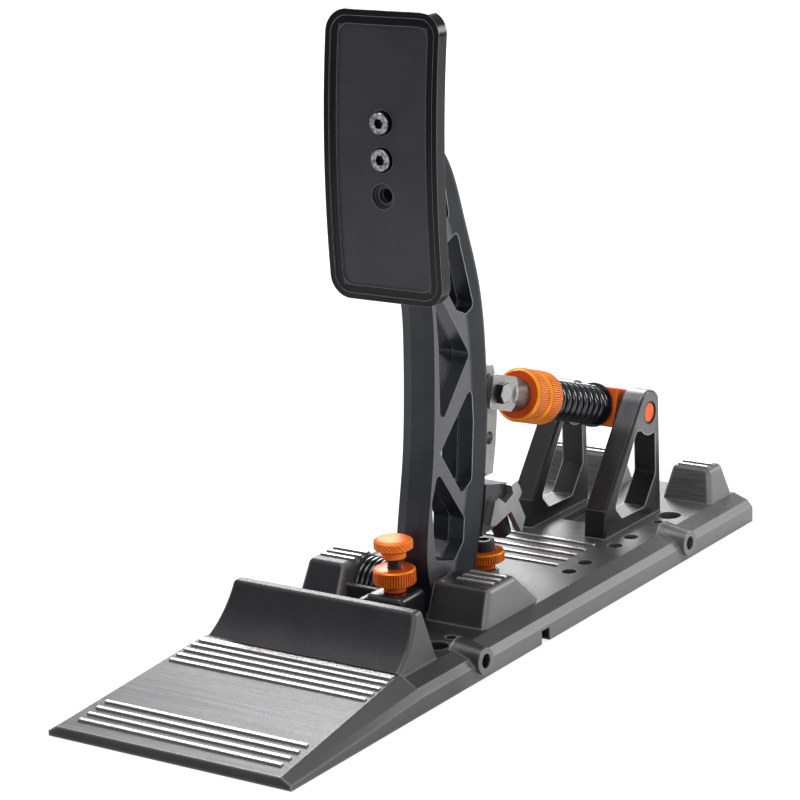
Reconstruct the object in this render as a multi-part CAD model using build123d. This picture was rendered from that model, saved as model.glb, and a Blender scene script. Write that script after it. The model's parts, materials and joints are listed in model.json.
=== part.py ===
from build123d import *
import math
import os

os.makedirs("parts", exist_ok=True)

# Clearances and the overrun that cuts take past a surface
seat_clearance = 0.03
running_clearance = 0.06
soft_clearance = 0.3
overrun = 2.0
chamfer_size = 0.5

# Base casting: section, ramp and underside
base_width = 120.0
deck_height = 13.0
deck_inset = 10.0
skirt_height = 7.2
bevel_corner_height = 10.3
bevel_corner_inset = 2.7
ramp_length = 90.7
ramp_front_height = 4.9
ramp_rear_height = 15.2
ramp_front_inset = 4.7
ramp_rear_inset = 10.6
ramp_front_skirt = 2.2
ramp_solid_length = 12.7
deck_wall = 3.5
skirt_wall = 6.0
underside_rib = 4.0
underside_columns = 3

# Ribs on the casting, all of one section
rib_width = 1.9
rib_rise = 0.8
rib_rounding = 0.35
ramp_rib_inset = 9.8
ramp_front_ribs = 4
ramp_front_rib_start = 8.0
ramp_front_rib_pitch = 5.6
ramp_rear_ribs = 4
ramp_rear_rib_run = 24.7
ramp_rear_rib_pitch = 5.0
ramp_band_run = 4.5
ramp_band_width = 3.4

# Heel stop across the ramp's rear end
heel_crest_height = 35.3
heel_front_run = 16.3
heel_crest_run = 6.0
heel_rear_run = 5.6
heel_inset = 10.8
heel_crest_inset = 13.8
heel_hollow_depth = 2.6
heel_rounding = 2.0
heel_crest_rounding = 2.4
heel_wall = 4.0

# Pedal plane, pivot and swing
mechanism_x = 7.0
heel_to_pivot = 59.4
pivot_height = 14.5
swing_travel = 9.0

# Shoulders that carry the pivot, with their reach ahead of it and behind it
shoulder_ahead = 23.0
shoulder_behind = 22.0
shoulder_top_ahead = 16.0
shoulder_top_behind = 5.0
shoulder_top_height = 28.5
shoulder_inset = 11.5
shoulder_top_inset = 13.0
shoulder_rounding = 3.0
right_shoulder_inner = 18.0
left_shoulder_inner = -27.0
bearing_boss_radius = 13.5
bearing_boss_depth = 6.0
shoulder_rib_inner = 26.8
shoulder_rib_margin = 2.4
shoulder_ribs = 3
shoulder_rib_ahead = 8.8
shoulder_rib_pitch = 4.95

# Well in the deck under the hub, and its thin lip
well_ahead = 17.0
well_behind = 22.0
lip_wall = 1.8
lip_height = 7.0
lip_ahead = 15.6
lip_outer = -34.0
lip_inner = -8.4
lip_leg_ahead = 30.0

# Deck ribs, rear recess and rear bumps
deck_ribs = 5
deck_rib_behind = 64.2
deck_rib_pitch = 8.0
deck_rib_half_length = 32.0
recess_ahead = 25.5
recess_length = 28.5
recess_width = 18.0
recess_depth = 4.0
frame_to_bump = 16.2
bump_length = 22.4
bump_rear_margin = 0.6
bump_front_slope = 5.0
bump_rear_slope = 4.4
bump_side_slope = 3.2
bump_top_height = 28.5
bump_inset = 10.3
right_bump_inner = 23.4
left_bump_inner = -4.0
bump_ribs = 2
bump_rib_run = 7.8
bump_rib_pitch = 4.8
bump_rib_inset = 5.6

# Holes in the deck
hole_row_inset = 19.6
large_hole_radius = 5.5
heel_to_large_hole = 11.7
trunnion_to_large_hole = 2.1
small_hole_radius = 2.5
small_hole_front_spacing = 11.7
small_hole_rear_spacing = 11.0
bolt_hole_radius = 3.5
bolt_hole_behind = 59.8
bolt_hole_pair_spacing = 14.0
bolt_hole_spacing = 41.0

# Side bosses for joining modules, and the cable notch
heel_to_side_boss = 16.4
side_boss_to_trunnion = 17.4
side_boss_height = 8.4
side_boss_stand = 2.0
side_boss_length = 14.0
side_boss_radius = 5.6
side_boss_root_radius = 8.2
side_boss_hole_radius = 3.2
side_boss_hole_depth = 16.0
notch_behind = 7.3
notch_width = 6.5
notch_height = 6.0

# Pedal arm: outline sizes, width and edges
arm_reach = 60.0
arm_rise = 223.5
arm_width = 16.0
arm_front_bevel = 4.8
arm_front_bevel_depth = 1.3
arm_rear_rounding = 5.2
arm_pocket_draft = 6.0
arm_pocket_corner = 2.4
hub_radius = 11.0

# Pedal plate
plate_width = 56.0
plate_length = 120.8
plate_thickness = 6.0
plate_centre_height = 211.2
plate_crown_height = 192.0
plate_ahead = 26.0
plate_curve_radius = 476.0
plate_corner = 9.4
plate_rim = 6.0
plate_rim_step = 2.6
plate_step_depth = 0.7
plate_panel_depth = 1.5
plate_screw_top = 226.1
plate_screw_length = 18.0
plate_screw_pitch = 15.25
plate_screws = 2
plate_holes = 3

# Screw sizes
m6_radius = 3.0
m6_head_radius = 4.8
m6_head_height = 3.4
m6_socket_flats = 4.0
m5_radius = 2.5
m5_head_radius = 4.25
m5_head_height = 3.0
m5_socket_flats = 3.0
socket_depth_share = 0.6

# Pivot shaft, bushes and spring sleeve
shaft_radius = 5.0
shaft_right_inset = 15.5
shaft_left_inset = 5.5
bush_radius = 7.5
bush_length = 10.0
bush_depth = 1.0
plug_length = 3.0
sleeve_radius = 10.4
washer_radius = 8.5
magnet_radius = 3.0
magnet_length = 2.5
set_screw_radius = 2.0
set_screw_length = 6.0

# Torsion spring round the sleeve
torsion_wire = 2.2
torsion_radius = 12.2
torsion_pitch = 2.68
torsion_quarters = 29
torsion_bend = 2.6
torsion_leg = 3.6
torsion_arm_gap = 4.4
torsion_arm_angle = 95.0

# Position sensor in the right shoulder
sensor_gap = 1.0
sensor_board_thickness = 1.6
sensor_chip_thickness = 1.0
sensor_pocket_width = 10.0
sensor_pocket_ahead = 11.5
sensor_pocket_behind = 8.0
sensor_pocket_height = 22.0
sensor_cover_thickness = 2.0
sensor_cover_margin = 4.0
terminal_width = 12.0
terminal_height = 7.0
terminal_gap = 4.4

# Steel lug behind the arm, carrying the clevis pin
clevis_pin_behind = 50.0
clevis_pin_above = 80.0
lug_thickness = 6.4
lug_ear_radius = 6.5
lug_tongue = 9.0
lug_height = 51.0
lug_reach = 25.0
lug_hole_radius = 3.0
lug_screw_pitch = 18.0

# Stop foot, its bracket and its rubber pad
foot_width = 14.6
foot_length = 25.0
foot_top_height = 57.5
foot_base_length = 13.0
foot_landing_gap = 0.35
foot_screw_height = 47.0
bracket_thickness = 3.1
bracket_length = 28.8
bracket_rise = 24.6
bracket_behind = 33.8
bracket_bottom = 27.8
pad_radius = 4.2
pad_length = 19.2
pad_lean = 20.0
pad_inset = 6.5
pad_behind = 51.6
pad_top_height = 44.4

# Strut: clevis, rod, preload nuts and spring
strut_pin_radius = 4.0
clevis_width = 13.0
clevis_height = 15.5
clevis_length = 14.0
clevis_nose = 7.2
clevis_nose_rounding = 2.0
clevis_body_radius = 7.5
clevis_body_length = 11.0
clevis_bolt_flats = 8.6
clevis_bolt_head = 3.5
clevis_nut_flats = 12.0
clevis_nut_height = 4.0
rod_radius = 4.0
rod_socket = 9.0
preload_nut_radius = 12.25
preload_nut_length = 9.5
preload_nut_gap = 1.5
preload_nut_rear_length = 10.7
preload_nut_chamfer = 1.3
washer_thickness = 1.2
spring_washer_radius = 10.4
spring_wire = 3.0
spring_outer_radius = 9.2
spring_pitch = 5.1
spring_closed_quarters = 4
spring_closed_gap = 0.6
rod_nut_flats = 13.0
rod_nut_height = 6.5
rod_tail = 2.5

# Trunnion block and its pins
trunnion_behind = 149.0
trunnion_height = 62.5
block_width = 23.2
block_height = 18.4
block_length = 17.6
block_chamfer = 0.6
block_bush_radius = 6.0
rod_slide_clearance = 0.5
trunnion_pin_radius = 4.9
trunnion_pin_grip = 5.0
trunnion_spacer_radius = 7.2
trunnion_pin_inset = 0.5

# Side frames
frame_gap = 28.0
frame_thickness = 11.3
frame_behind = 8.8
frame_toe_ahead = 43.9
frame_top_radius = 10.6
frame_edge_rounding = 1.4
frame_opening_corner = 2.5
frame_screw_front_inset = 9.0
frame_screw_rear_inset = 6.0

# Adjusters
adjuster_ring_radius = 9.25
adjuster_collar_radius = 4.9
front_stop_ahead = 27.6
seat_width = 19.0
seat_ahead = 37.0
seat_length = 19.0
seat_height = 12.5
seat_rounding = 2.4
front_collar_length = 3.4
front_ring_height = 7.0
front_stud_radius = 3.0
front_stud_gap = 4.5
knob_flange_radius = 5.3
knob_flange_height = 3.4
knob_radius = 8.4
knob_height = 5.3
insert_radius = 4.2
rear_stop_behind = 42.6
rear_pad_height = 1.6
rear_pad_radius = 6.5
rear_collar_length = 3.5
rear_ring_height = 5.1
rear_stud_radius = 2.4
rear_stud_wall = 7.2
rear_stud_length = 22.0
bumper_radius = 4.9
bumper_height = 4.8

# Places along the base, worked out from its front edge
heel_crest_start = ramp_length + heel_front_run
heel_crest_end = heel_crest_start + heel_crest_run
heel_rear = heel_crest_end + heel_rear_run
ramp_rear_rib_start = ramp_length - ramp_rear_rib_run
ramp_band_from_front = ramp_length - ramp_band_run
pivot_from_front = heel_rear + heel_to_pivot
trunnion_from_front = pivot_from_front + trunnion_behind
shoulder_start = pivot_from_front - shoulder_ahead
shoulder_end = pivot_from_front + shoulder_behind
shoulder_top_start = pivot_from_front - shoulder_top_ahead
shoulder_top_end = pivot_from_front + shoulder_top_behind
shoulder_rib_start = pivot_from_front - shoulder_rib_ahead
well_start = pivot_from_front - well_ahead
well_end = pivot_from_front + well_behind
lip_from_front = pivot_from_front - lip_ahead
lip_leg_start = pivot_from_front - lip_leg_ahead
plate_front = pivot_from_front - plate_ahead
front_stop_from_front = pivot_from_front - front_stop_ahead
seat_start = pivot_from_front - seat_ahead
seat_end = seat_start + seat_length
sensor_pocket_start = pivot_from_front - sensor_pocket_ahead
sensor_pocket_end = pivot_from_front + sensor_pocket_behind
notch_from_front = pivot_from_front + notch_behind
rear_stop_from_front = pivot_from_front + rear_stop_behind
bracket_start = pivot_from_front + bracket_behind
pad_from_front = pivot_from_front + pad_behind
deck_rib_start = pivot_from_front + deck_rib_behind
bolt_hole_first = pivot_from_front + bolt_hole_behind
bolt_hole_second = bolt_hole_first + bolt_hole_pair_spacing
large_hole_front = heel_rear + heel_to_large_hole
large_hole_rear = trunnion_from_front + trunnion_to_large_hole
small_hole_front = large_hole_front + small_hole_front_spacing
small_hole_rear = large_hole_rear - small_hole_rear_spacing
side_boss_front = heel_rear + heel_to_side_boss
side_boss_rear = trunnion_from_front - side_boss_to_trunnion
recess_start = trunnion_from_front - recess_ahead
recess_end = recess_start + recess_length
frame_toe = trunnion_from_front - frame_toe_ahead
frame_back = trunnion_from_front + frame_behind
bump_start = frame_back + frame_to_bump
bump_end = bump_start + bump_length
bump_rib_start = bump_start + bump_rib_run
base_length = bump_end + bump_rear_margin

# Places across the base, worked out from its middle
half_width = base_width / 2
deck_half_width = half_width - deck_inset
ramp_front_half_width = half_width - ramp_front_inset
ramp_rear_half_width = half_width - ramp_rear_inset
ramp_rib_half_length = half_width - ramp_rib_inset
heel_half_width = half_width - heel_inset
heel_crest_half_width = half_width - heel_crest_inset
shoulder_half_width = half_width - shoulder_inset
shoulder_top_half_width = half_width - shoulder_top_inset
shoulder_rib_outer = shoulder_top_half_width - shoulder_rib_margin
bump_outer = half_width - bump_inset
hole_row_x = half_width - hole_row_inset
side_boss_reach = half_width + side_boss_stand
side_boss_root = side_boss_reach - side_boss_length
shaft_right_end = shoulder_half_width - shaft_right_inset
shaft_left_end = shaft_left_inset - shoulder_half_width

# Places in the shared frame
front_edge = -base_length / 2
pivot_y = front_edge + pivot_from_front
clevis_pin_y = pivot_y + clevis_pin_behind
clevis_pin_z = pivot_height + clevis_pin_above
trunnion_y = front_edge + trunnion_from_front
strut_run = trunnion_y - clevis_pin_y
strut_drop = clevis_pin_z - trunnion_height
strut_length = math.hypot(strut_run, strut_drop)
arm_left = mechanism_x - arm_width / 2
arm_right = mechanism_x + arm_width / 2
plate_axis_y = front_edge + plate_front + plate_curve_radius
strut_plane = Plane(
    origin=(mechanism_x, clevis_pin_y, clevis_pin_z),
    x_dir=(1, 0, 0),
    z_dir=(0, strut_run, -strut_drop),
)


def from_front(distance):
    return front_edge + distance


def block(x_from, x_to, y_from, y_to, z_from, z_to):
    size = Box(x_to - x_from, y_to - y_from, z_to - z_from, align=(Align.MIN,) * 3)
    return Pos(x_from, y_from, z_from) * size


def prism_along_x(face, x_from, x_to):
    return extrude(Plane.YZ.offset(x_from) * face, x_to - x_from, dir=(1, 0, 0))


def polygon(points):
    return make_face(Polyline(*points, close=True))


def cylinder(start, direction, radius, length):
    bar = Cylinder(radius, length, align=(Align.CENTER, Align.CENTER, Align.MIN))
    return Plane(origin=start, z_dir=direction) * bar


def cylinder_x(radius, x_from, x_to, y, z):
    return cylinder((x_from, y, z), (1, 0, 0), radius, x_to - x_from)


def cylinder_z(radius, z_from, z_to, x, y):
    return cylinder((x, y, z_from), (0, 0, 1), radius, z_to - z_from)


def strut_cylinder(radius, start, end):
    bar = Cylinder(radius, end - start, align=(Align.CENTER, Align.CENTER, Align.MIN))
    return strut_plane * Pos(0, 0, start) * bar


def hexagon_prism(flats, height):
    outline = RegularPolygon(flats / 2, 6, major_radius=False)
    return extrude(outline, height)


def tapered_block(bottom, top, z_from, z_to, rounding):
    faces = []
    for (x_from, x_to, y_from, y_to), z in ((bottom, z_from), (top, z_to)):
        outline = Rectangle(x_to - x_from, y_to - y_from, align=(Align.MIN, Align.MIN))
        faces.append(Pos(x_from, y_from, z) * outline)
    solid = loft(faces, ruled=True)
    upper_edges = solid.edges().filter_by(lambda edge: edge.center().Z > z_from)
    return fillet(upper_edges, rounding)


def arm_points(shares):
    points = []
    for behind_share, above_share in shares:
        y = pivot_y + behind_share * arm_reach
        points.append((y, pivot_height + above_share * arm_rise))
    return points


def rib(x_from, x_to, y, z, width=rib_width, rise=rib_rise):
    body = block(x_from, x_to, y - width / 2, y + width / 2, z - rise, z + rise)
    top_edges = body.edges().filter_by(lambda edge: edge.center().Z > z)
    return fillet(top_edges, rib_rounding)


def ramp_plane():
    rise = ramp_rear_height - ramp_front_height
    return Plane(
        origin=(0, front_edge, ramp_front_height),
        x_dir=(1, 0, 0),
        z_dir=(0, -rise, ramp_length),
    )


def casting_body():
    bevel_x = half_width - bevel_corner_inset
    deck_right = [
        (half_width, 0),
        (half_width, skirt_height),
        (bevel_x, bevel_corner_height),
        (deck_half_width, deck_height),
    ]
    deck_left = [(-x, z) for x, z in reversed(deck_right)]
    deck_face = polygon(deck_right + deck_left)
    rear_plane = Plane(origin=(0, -front_edge, 0), x_dir=(1, 0, 0), z_dir=(0, -1, 0))
    deck = extrude(rear_plane * deck_face, base_length - ramp_length)
    front_bevel_x = (half_width + ramp_front_half_width) / 2
    front_bevel_z = (ramp_front_skirt + ramp_front_height) / 2
    front_right = [
        (half_width, 0),
        (half_width, ramp_front_skirt),
        (front_bevel_x, front_bevel_z),
        (ramp_front_half_width, ramp_front_height),
    ]
    rear_right = [
        (half_width, 0),
        (half_width, skirt_height),
        (bevel_x, bevel_corner_height),
        (ramp_rear_half_width, ramp_rear_height),
    ]
    sections = []
    for distance, right in ((0, front_right), (ramp_length, rear_right)):
        left = [(-x, z) for x, z in reversed(right)]
        plane = Plane(origin=(0, from_front(distance), 0), x_dir=(1, 0, 0), z_dir=(0, -1, 0))
        sections.append(plane * polygon(right + left))
    ramp = loft(sections, ruled=True)
    return ramp + deck


def heel_stop():
    hollow_share = 0.62
    start = (from_front(ramp_length), ramp_rear_height)
    crest = (from_front(heel_crest_start), heel_crest_height)
    middle_y = start[0] + (crest[0] - start[0]) * hollow_share
    middle_z = (start[1] + crest[1]) / 2 - heel_hollow_depth / 2
    hollow = ThreePointArc(start, (middle_y, middle_z), crest)
    rest = Polyline(
        crest,
        (from_front(heel_crest_end), heel_crest_height),
        (from_front(heel_rear), deck_height),
        (from_front(heel_rear), deck_height - deck_wall),
        (start[0], deck_height - deck_wall),
        start,
    )
    side = make_face(hollow.edges() + rest.edges())
    side = fillet(side.vertices().group_by(Axis.Y)[-1], heel_crest_rounding)
    body = prism_along_x(side, -heel_half_width, heel_half_width)
    end_face = polygon(
        [
            (-heel_half_width, 0),
            (heel_half_width, 0),
            (heel_half_width, deck_height),
            (heel_crest_half_width, heel_crest_height),
            (-heel_crest_half_width, heel_crest_height),
            (-heel_half_width, deck_height),
        ]
    )
    rear_plane = Plane(origin=(0, from_front(heel_rear), 0), x_dir=(1, 0, 0), z_dir=(0, -1, 0))
    body = body & extrude(rear_plane * end_face, base_length)
    end_edges = body.edges().filter_by(
        lambda edge: edge.center().Z > deck_height + chamfer_size
        and abs(edge.center().X) > heel_crest_half_width - heel_rounding
    )
    return fillet(end_edges, heel_rounding)


def shoulder(inner, outer, top_outer):
    low, high = sorted((inner, outer))
    top_low, top_high = sorted((inner, top_outer))
    bottom = (low, high, from_front(shoulder_start), from_front(shoulder_end))
    top = (top_low, top_high, from_front(shoulder_top_start), from_front(shoulder_top_end))
    upper = tapered_block(bottom, top, deck_height, shoulder_top_height, shoulder_rounding)
    side = math.copysign(1, outer - inner)
    boss_from, boss_to = sorted((inner, inner + side * bearing_boss_depth))
    boss = cylinder_x(bearing_boss_radius, boss_from, boss_to, pivot_y, pivot_height)
    foot = block(*bottom, deck_height - deck_wall, deck_height)
    return upper + boss + foot


def rear_bump(low, high):
    bottom = (low, high, from_front(bump_start), from_front(bump_end))
    top = (
        low + bump_side_slope,
        high - bump_side_slope,
        from_front(bump_start + bump_front_slope),
        from_front(bump_end - bump_rear_slope),
    )
    return tapered_block(bottom, top, deck_height, bump_top_height, shoulder_rounding)


def side_boss(side, distance):
    cone = Cone(
        side_boss_root_radius,
        side_boss_radius,
        side_boss_reach - side_boss_root,
        align=(Align.CENTER, Align.CENTER, Align.MIN),
    )
    origin = (side * side_boss_root, from_front(distance), side_boss_height)
    boss = Plane(origin=origin, z_dir=(side, 0, 0)) * cone
    floor_cut = block(-base_width, base_width, front_edge, -front_edge, -base_width, 0)
    return boss - floor_cut


def casting_ribs():
    ribs = []
    ramp = ramp_plane()
    slope_length = math.hypot(ramp_length, ramp_rear_height - ramp_front_height)
    along = slope_length / ramp_length
    for index in range(ramp_front_ribs):
        place = (ramp_front_rib_start + index * ramp_front_rib_pitch) * along
        ribs.append(ramp * rib(-ramp_rib_half_length, ramp_rib_half_length, place, 0))
    rear_half_length = ramp_rib_half_length - rib_width / 2
    for index in range(ramp_rear_ribs):
        place = (ramp_rear_rib_start + index * ramp_rear_rib_pitch) * along
        ribs.append(ramp * rib(-rear_half_length, rear_half_length, place, 0))
    band_half_length = ramp_rear_half_width - rib_width / 2
    band = rib(-band_half_length, band_half_length, ramp_band_from_front * along, 0, ramp_band_width)
    ribs.append(ramp * band)
    for side in (1, -1):
        for index in range(shoulder_ribs):
            y = from_front(shoulder_rib_start + index * shoulder_rib_pitch)
            low, high = sorted((side * shoulder_rib_inner, side * shoulder_rib_outer))
            ribs.append(rib(low, high, y, shoulder_top_height))
    for index in range(deck_ribs):
        y = from_front(deck_rib_start + index * deck_rib_pitch)
        ribs.append(rib(-deck_rib_half_length, deck_rib_half_length, y, deck_height))
    bump_spans = ((right_bump_inner, bump_outer), (-bump_outer, left_bump_inner))
    for low, high in bump_spans:
        for index in range(bump_ribs):
            y = from_front(bump_rib_start + index * bump_rib_pitch)
            ribs.append(rib(low + bump_rib_inset, high - bump_rib_inset, y, bump_top_height))
    return ribs


def well_lip():
    top = deck_height + lip_height
    y = from_front(lip_from_front)
    cross = block(lip_outer, lip_inner, y - lip_wall / 2, y + lip_wall / 2, 0, top)
    leg = block(
        lip_inner - lip_wall,
        lip_inner,
        from_front(lip_leg_start),
        y + lip_wall / 2,
        deck_height - deck_wall,
        top,
    )
    return cross + leg


def screw_places():
    places = []
    for side in (1, -1):
        x = side * hole_row_x
        places.append((x, large_hole_front, large_hole_radius))
        places.append((x, large_hole_rear, large_hole_radius))
        places.append((x, small_hole_front, small_hole_radius))
        places.append((x, small_hole_rear, small_hole_radius))
        for start in (bolt_hole_first, bolt_hole_second):
            places.append((x, start, bolt_hole_radius))
            places.append((x, start + bolt_hole_spacing, bolt_hole_radius))
    return places


def frame_centres():
    offset = frame_gap / 2 + frame_thickness / 2
    return (mechanism_x + offset, mechanism_x - offset)


def frame_screw_places():
    places = []
    for x in frame_centres():
        places.append((x, frame_toe + frame_screw_front_inset))
        places.append((x, frame_back - frame_screw_rear_inset))
    return places


def seat_screw_places():
    inset = m5_head_radius
    return (
        (mechanism_x - seat_width / 2 + inset, seat_start + inset),
        (mechanism_x + seat_width / 2 - inset, seat_start + inset),
    )


def column_spans(half):
    pitch = 2 * half / underside_columns
    spans = []
    for column in range(underside_columns):
        low = -half + column * pitch + underside_rib / 2
        spans.append((low, low + pitch - underside_rib))
    return spans


def underside_cells():
    outer = half_width - skirt_wall
    stud_inner = mechanism_x + rear_stud_radius + rear_stud_wall + underside_rib
    tray_half = hole_row_x - large_hole_radius - underside_rib
    centre_half = hole_row_x - bolt_hole_radius - underside_rib
    tray_rows = (heel_rear + underside_rib, seat_start - underside_rib)
    outer_rows = (shoulder_end + underside_rib, bolt_hole_first - bolt_hole_radius - underside_rib)
    centre_start = rear_stop_from_front + rear_stud_radius + rear_stud_wall + underside_rib
    centre_end = frame_toe + frame_screw_front_inset - m5_head_radius - 2 * underside_rib
    rear_rows = (large_hole_rear + large_hole_radius + 2 * underside_rib, base_length - skirt_wall)
    places = [
        (-tray_half, tray_half, *tray_rows),
        (stud_inner, outer, *outer_rows),
        (-outer, -stud_inner, *outer_rows),
        (-centre_half, centre_half, centre_start, centre_end),
    ]
    for low, high in column_spans(outer):
        places.append((low, high, *rear_rows))
    cells = []
    for low, high, start, end in places:
        roof = deck_height - deck_wall
        cells.append(block(low, high, from_front(start), from_front(end), -overrun, roof))
    return cells


def ramp_cells():
    slope = (ramp_rear_height - ramp_front_height) / ramp_length
    roof_start = ramp_front_height + slope * ramp_solid_length - deck_wall
    roof_end = ramp_rear_height - deck_wall
    ramp_side = polygon(
        [
            (from_front(ramp_solid_length), -overrun),
            (from_front(ramp_solid_length), roof_start),
            (from_front(ramp_length), roof_end),
            (from_front(ramp_length), -overrun),
        ]
    )
    heel_roof = heel_crest_height - 2 * heel_wall
    heel_side = polygon(
        [
            (from_front(ramp_length + heel_wall), -overrun),
            (from_front(ramp_length + heel_wall), deck_height - deck_wall),
            (from_front(heel_crest_start + heel_wall / 2), heel_roof),
            (from_front(heel_crest_end - heel_wall / 2), heel_roof),
            (from_front(heel_rear - heel_wall), deck_height - deck_wall),
            (from_front(heel_rear - heel_wall), -overrun),
        ]
    )
    cells = []
    for low, high in column_spans(ramp_rear_half_width - underside_rib):
        cells.append(prism_along_x(ramp_side, low, high))
        cells.append(prism_along_x(heel_side, low, high))
    return cells


def sensor_places():
    chip_left = shaft_right_end + sensor_gap
    board_left = chip_left + sensor_chip_thickness
    pocket_left = shaft_right_end - magnet_length
    return chip_left, board_left, pocket_left


def base_casting():
    body = casting_body() + heel_stop()
    body += shoulder(right_shoulder_inner, shoulder_half_width, shoulder_top_half_width)
    body += shoulder(left_shoulder_inner, -shoulder_half_width, -shoulder_top_half_width)
    body += rear_bump(right_bump_inner, bump_outer)
    body += rear_bump(-bump_outer, left_bump_inner)
    for side in (1, -1):
        body += side_boss(side, side_boss_front)
        body += side_boss(side, side_boss_rear)
    body += cylinder_z(
        rear_pad_radius,
        deck_height - deck_wall,
        deck_height + rear_pad_height,
        mechanism_x,
        from_front(rear_stop_from_front),
    )
    body -= underside_cells() + ramp_cells()
    body += casting_ribs()
    body -= block(
        left_shoulder_inner,
        right_shoulder_inner,
        from_front(well_start),
        from_front(well_end),
        -overrun,
        shoulder_top_height + overrun,
    )
    body += well_lip()
    cuts = []
    for x, distance, radius in screw_places():
        cuts.append(cylinder_z(radius, -overrun, deck_height + overrun, x, from_front(distance)))
    for x, distance in frame_screw_places() + list(seat_screw_places()):
        y = from_front(distance)
        cuts.append(cylinder_z(m5_radius + running_clearance, -overrun, deck_height + overrun, x, y))
        cuts.append(cylinder_z(m5_head_radius + running_clearance, -overrun, m5_head_height, x, y))
    for side in (1, -1):
        for distance in (side_boss_front, side_boss_rear):
            low, high = sorted(
                (side * (side_boss_reach - side_boss_hole_depth), side * (side_boss_reach + overrun))
            )
            y = from_front(distance)
            cuts.append(cylinder_x(side_boss_hole_radius, low, high, y, side_boss_height))
    notch_y = from_front(notch_from_front)
    cuts.append(
        block(
            half_width - skirt_wall - overrun,
            half_width + overrun,
            notch_y - notch_width / 2,
            notch_y + notch_width / 2,
            -overrun,
            notch_height,
        )
    )
    cuts.append(
        block(
            mechanism_x - recess_width / 2,
            mechanism_x + recess_width / 2,
            from_front(recess_start),
            from_front(recess_end),
            deck_height - recess_depth,
            deck_height + overrun,
        )
    )
    stud_y = from_front(rear_stop_from_front)
    stud_bore = rear_stud_radius + seat_clearance
    stud_top = deck_height + rear_pad_height + overrun
    cuts.append(cylinder_z(stud_bore, -overrun, stud_top, mechanism_x, stud_y))
    front_y = from_front(front_stop_from_front)
    stud_hole = front_stud_radius + soft_clearance
    cuts.append(cylinder_z(stud_hole, -overrun, deck_height + overrun, mechanism_x, front_y))
    cuts += pivot_cuts() + sensor_cuts()
    body -= cuts
    return body


def pivot_cuts():
    cuts = []
    bore = bush_radius + seat_clearance
    left_face = -shoulder_half_width - overrun
    cuts.append(cylinder_x(bore, left_face, left_shoulder_inner + overrun, pivot_y, pivot_height))
    right_end = shaft_right_end + soft_clearance
    cuts.append(cylinder_x(bore, right_shoulder_inner - overrun, right_end, pivot_y, pivot_height))
    for index, centre in enumerate(torsion_leg_places()):
        if index == 1:
            hole = torsion_wire / 2 + soft_clearance
            start = left_shoulder_inner - torsion_leg
            cuts.append(cylinder_x(hole, start, left_shoulder_inner + overrun, *centre))
    return cuts


def sensor_cuts():
    pocket_left = sensor_places()[2]
    pocket_right = pocket_left + sensor_pocket_width
    pocket = block(
        pocket_left,
        pocket_right,
        from_front(sensor_pocket_start),
        from_front(sensor_pocket_end),
        -overrun,
        sensor_pocket_height,
    )
    cover_seat = block(
        pocket_left - sensor_cover_margin,
        half_width - skirt_wall - overrun,
        from_front(sensor_pocket_start - sensor_cover_margin),
        from_front(sensor_pocket_end + sensor_cover_margin),
        -overrun,
        sensor_cover_thickness,
    )
    terminal_pocket = block(
        pocket_right - overrun,
        half_width - skirt_wall - overrun + seat_clearance,
        from_front(notch_from_front) - terminal_width / 2 - soft_clearance,
        from_front(notch_from_front) + terminal_width / 2 - soft_clearance,
        -overrun,
        sensor_cover_thickness + terminal_height + soft_clearance,
    )
    return [pocket, cover_seat, terminal_pocket]


def side_frame(centre_x):
    knee_share = (0.027, 0.263)
    frame_run = frame_back - frame_toe
    frame_rise = trunnion_height - deck_height
    toe = from_front(frame_toe)
    back = from_front(frame_back)
    left = centre_x - frame_thickness / 2
    right = centre_x + frame_thickness / 2
    knee = (toe + knee_share[0] * frame_run, deck_height + knee_share[1] * frame_rise)
    run = trunnion_y - knee[0]
    rise = trunnion_height - knee[1]
    tangent_length = math.sqrt(run**2 + rise**2 - frame_top_radius**2)
    tangent_angle = math.atan2(rise, run) + math.atan2(frame_top_radius, tangent_length)
    outline = polygon(
        [
            (toe, deck_height),
            knee,
            (
                knee[0] + tangent_length * math.cos(tangent_angle),
                knee[1] + tangent_length * math.sin(tangent_angle),
            ),
            (trunnion_y, trunnion_height),
            (back, trunnion_height),
            (back, deck_height),
        ]
    )
    crown = Pos(trunnion_y, trunnion_height) * Circle(frame_top_radius)
    limit = Pos(back, deck_height) * Rectangle(
        frame_run * 2, frame_rise * 3, align=(Align.MAX, Align.MIN)
    )
    side = (outline + crown) & limit
    body = prism_along_x(side, left, right)
    rim = body.edges().filter_by(
        lambda edge: abs(edge.center().X - centre_x) > frame_thickness / 2 - chamfer_size
        and edge.center().Z > deck_height + chamfer_size
    )
    body = fillet(rim, frame_edge_rounding)
    opening_shares = (
        (0.600, 0.885),
        (0.915, 0.788),
        (0.911, 0.384),
        (0.708, 0.115),
        (0.304, 0.123),
        (0.192, 0.251),
    )
    points = []
    for run_share, rise_share in opening_shares:
        points.append((toe + run_share * frame_run, deck_height + rise_share * frame_rise))
    opening = polygon(points)
    opening = fillet(opening.vertices(), frame_opening_corner) - crown
    body -= prism_along_x(opening, left - overrun, right + overrun)
    bore = trunnion_pin_radius + running_clearance
    body -= cylinder_x(bore, left - overrun, right + overrun, trunnion_y, trunnion_height)
    for x, distance in frame_screw_places():
        if abs(x - centre_x) < frame_thickness / 2:
            depth = deck_height + m5_head_height
            hole = cylinder_z(m5_radius + seat_clearance, 0, depth, x, from_front(distance))
            body -= hole
    return body


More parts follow.
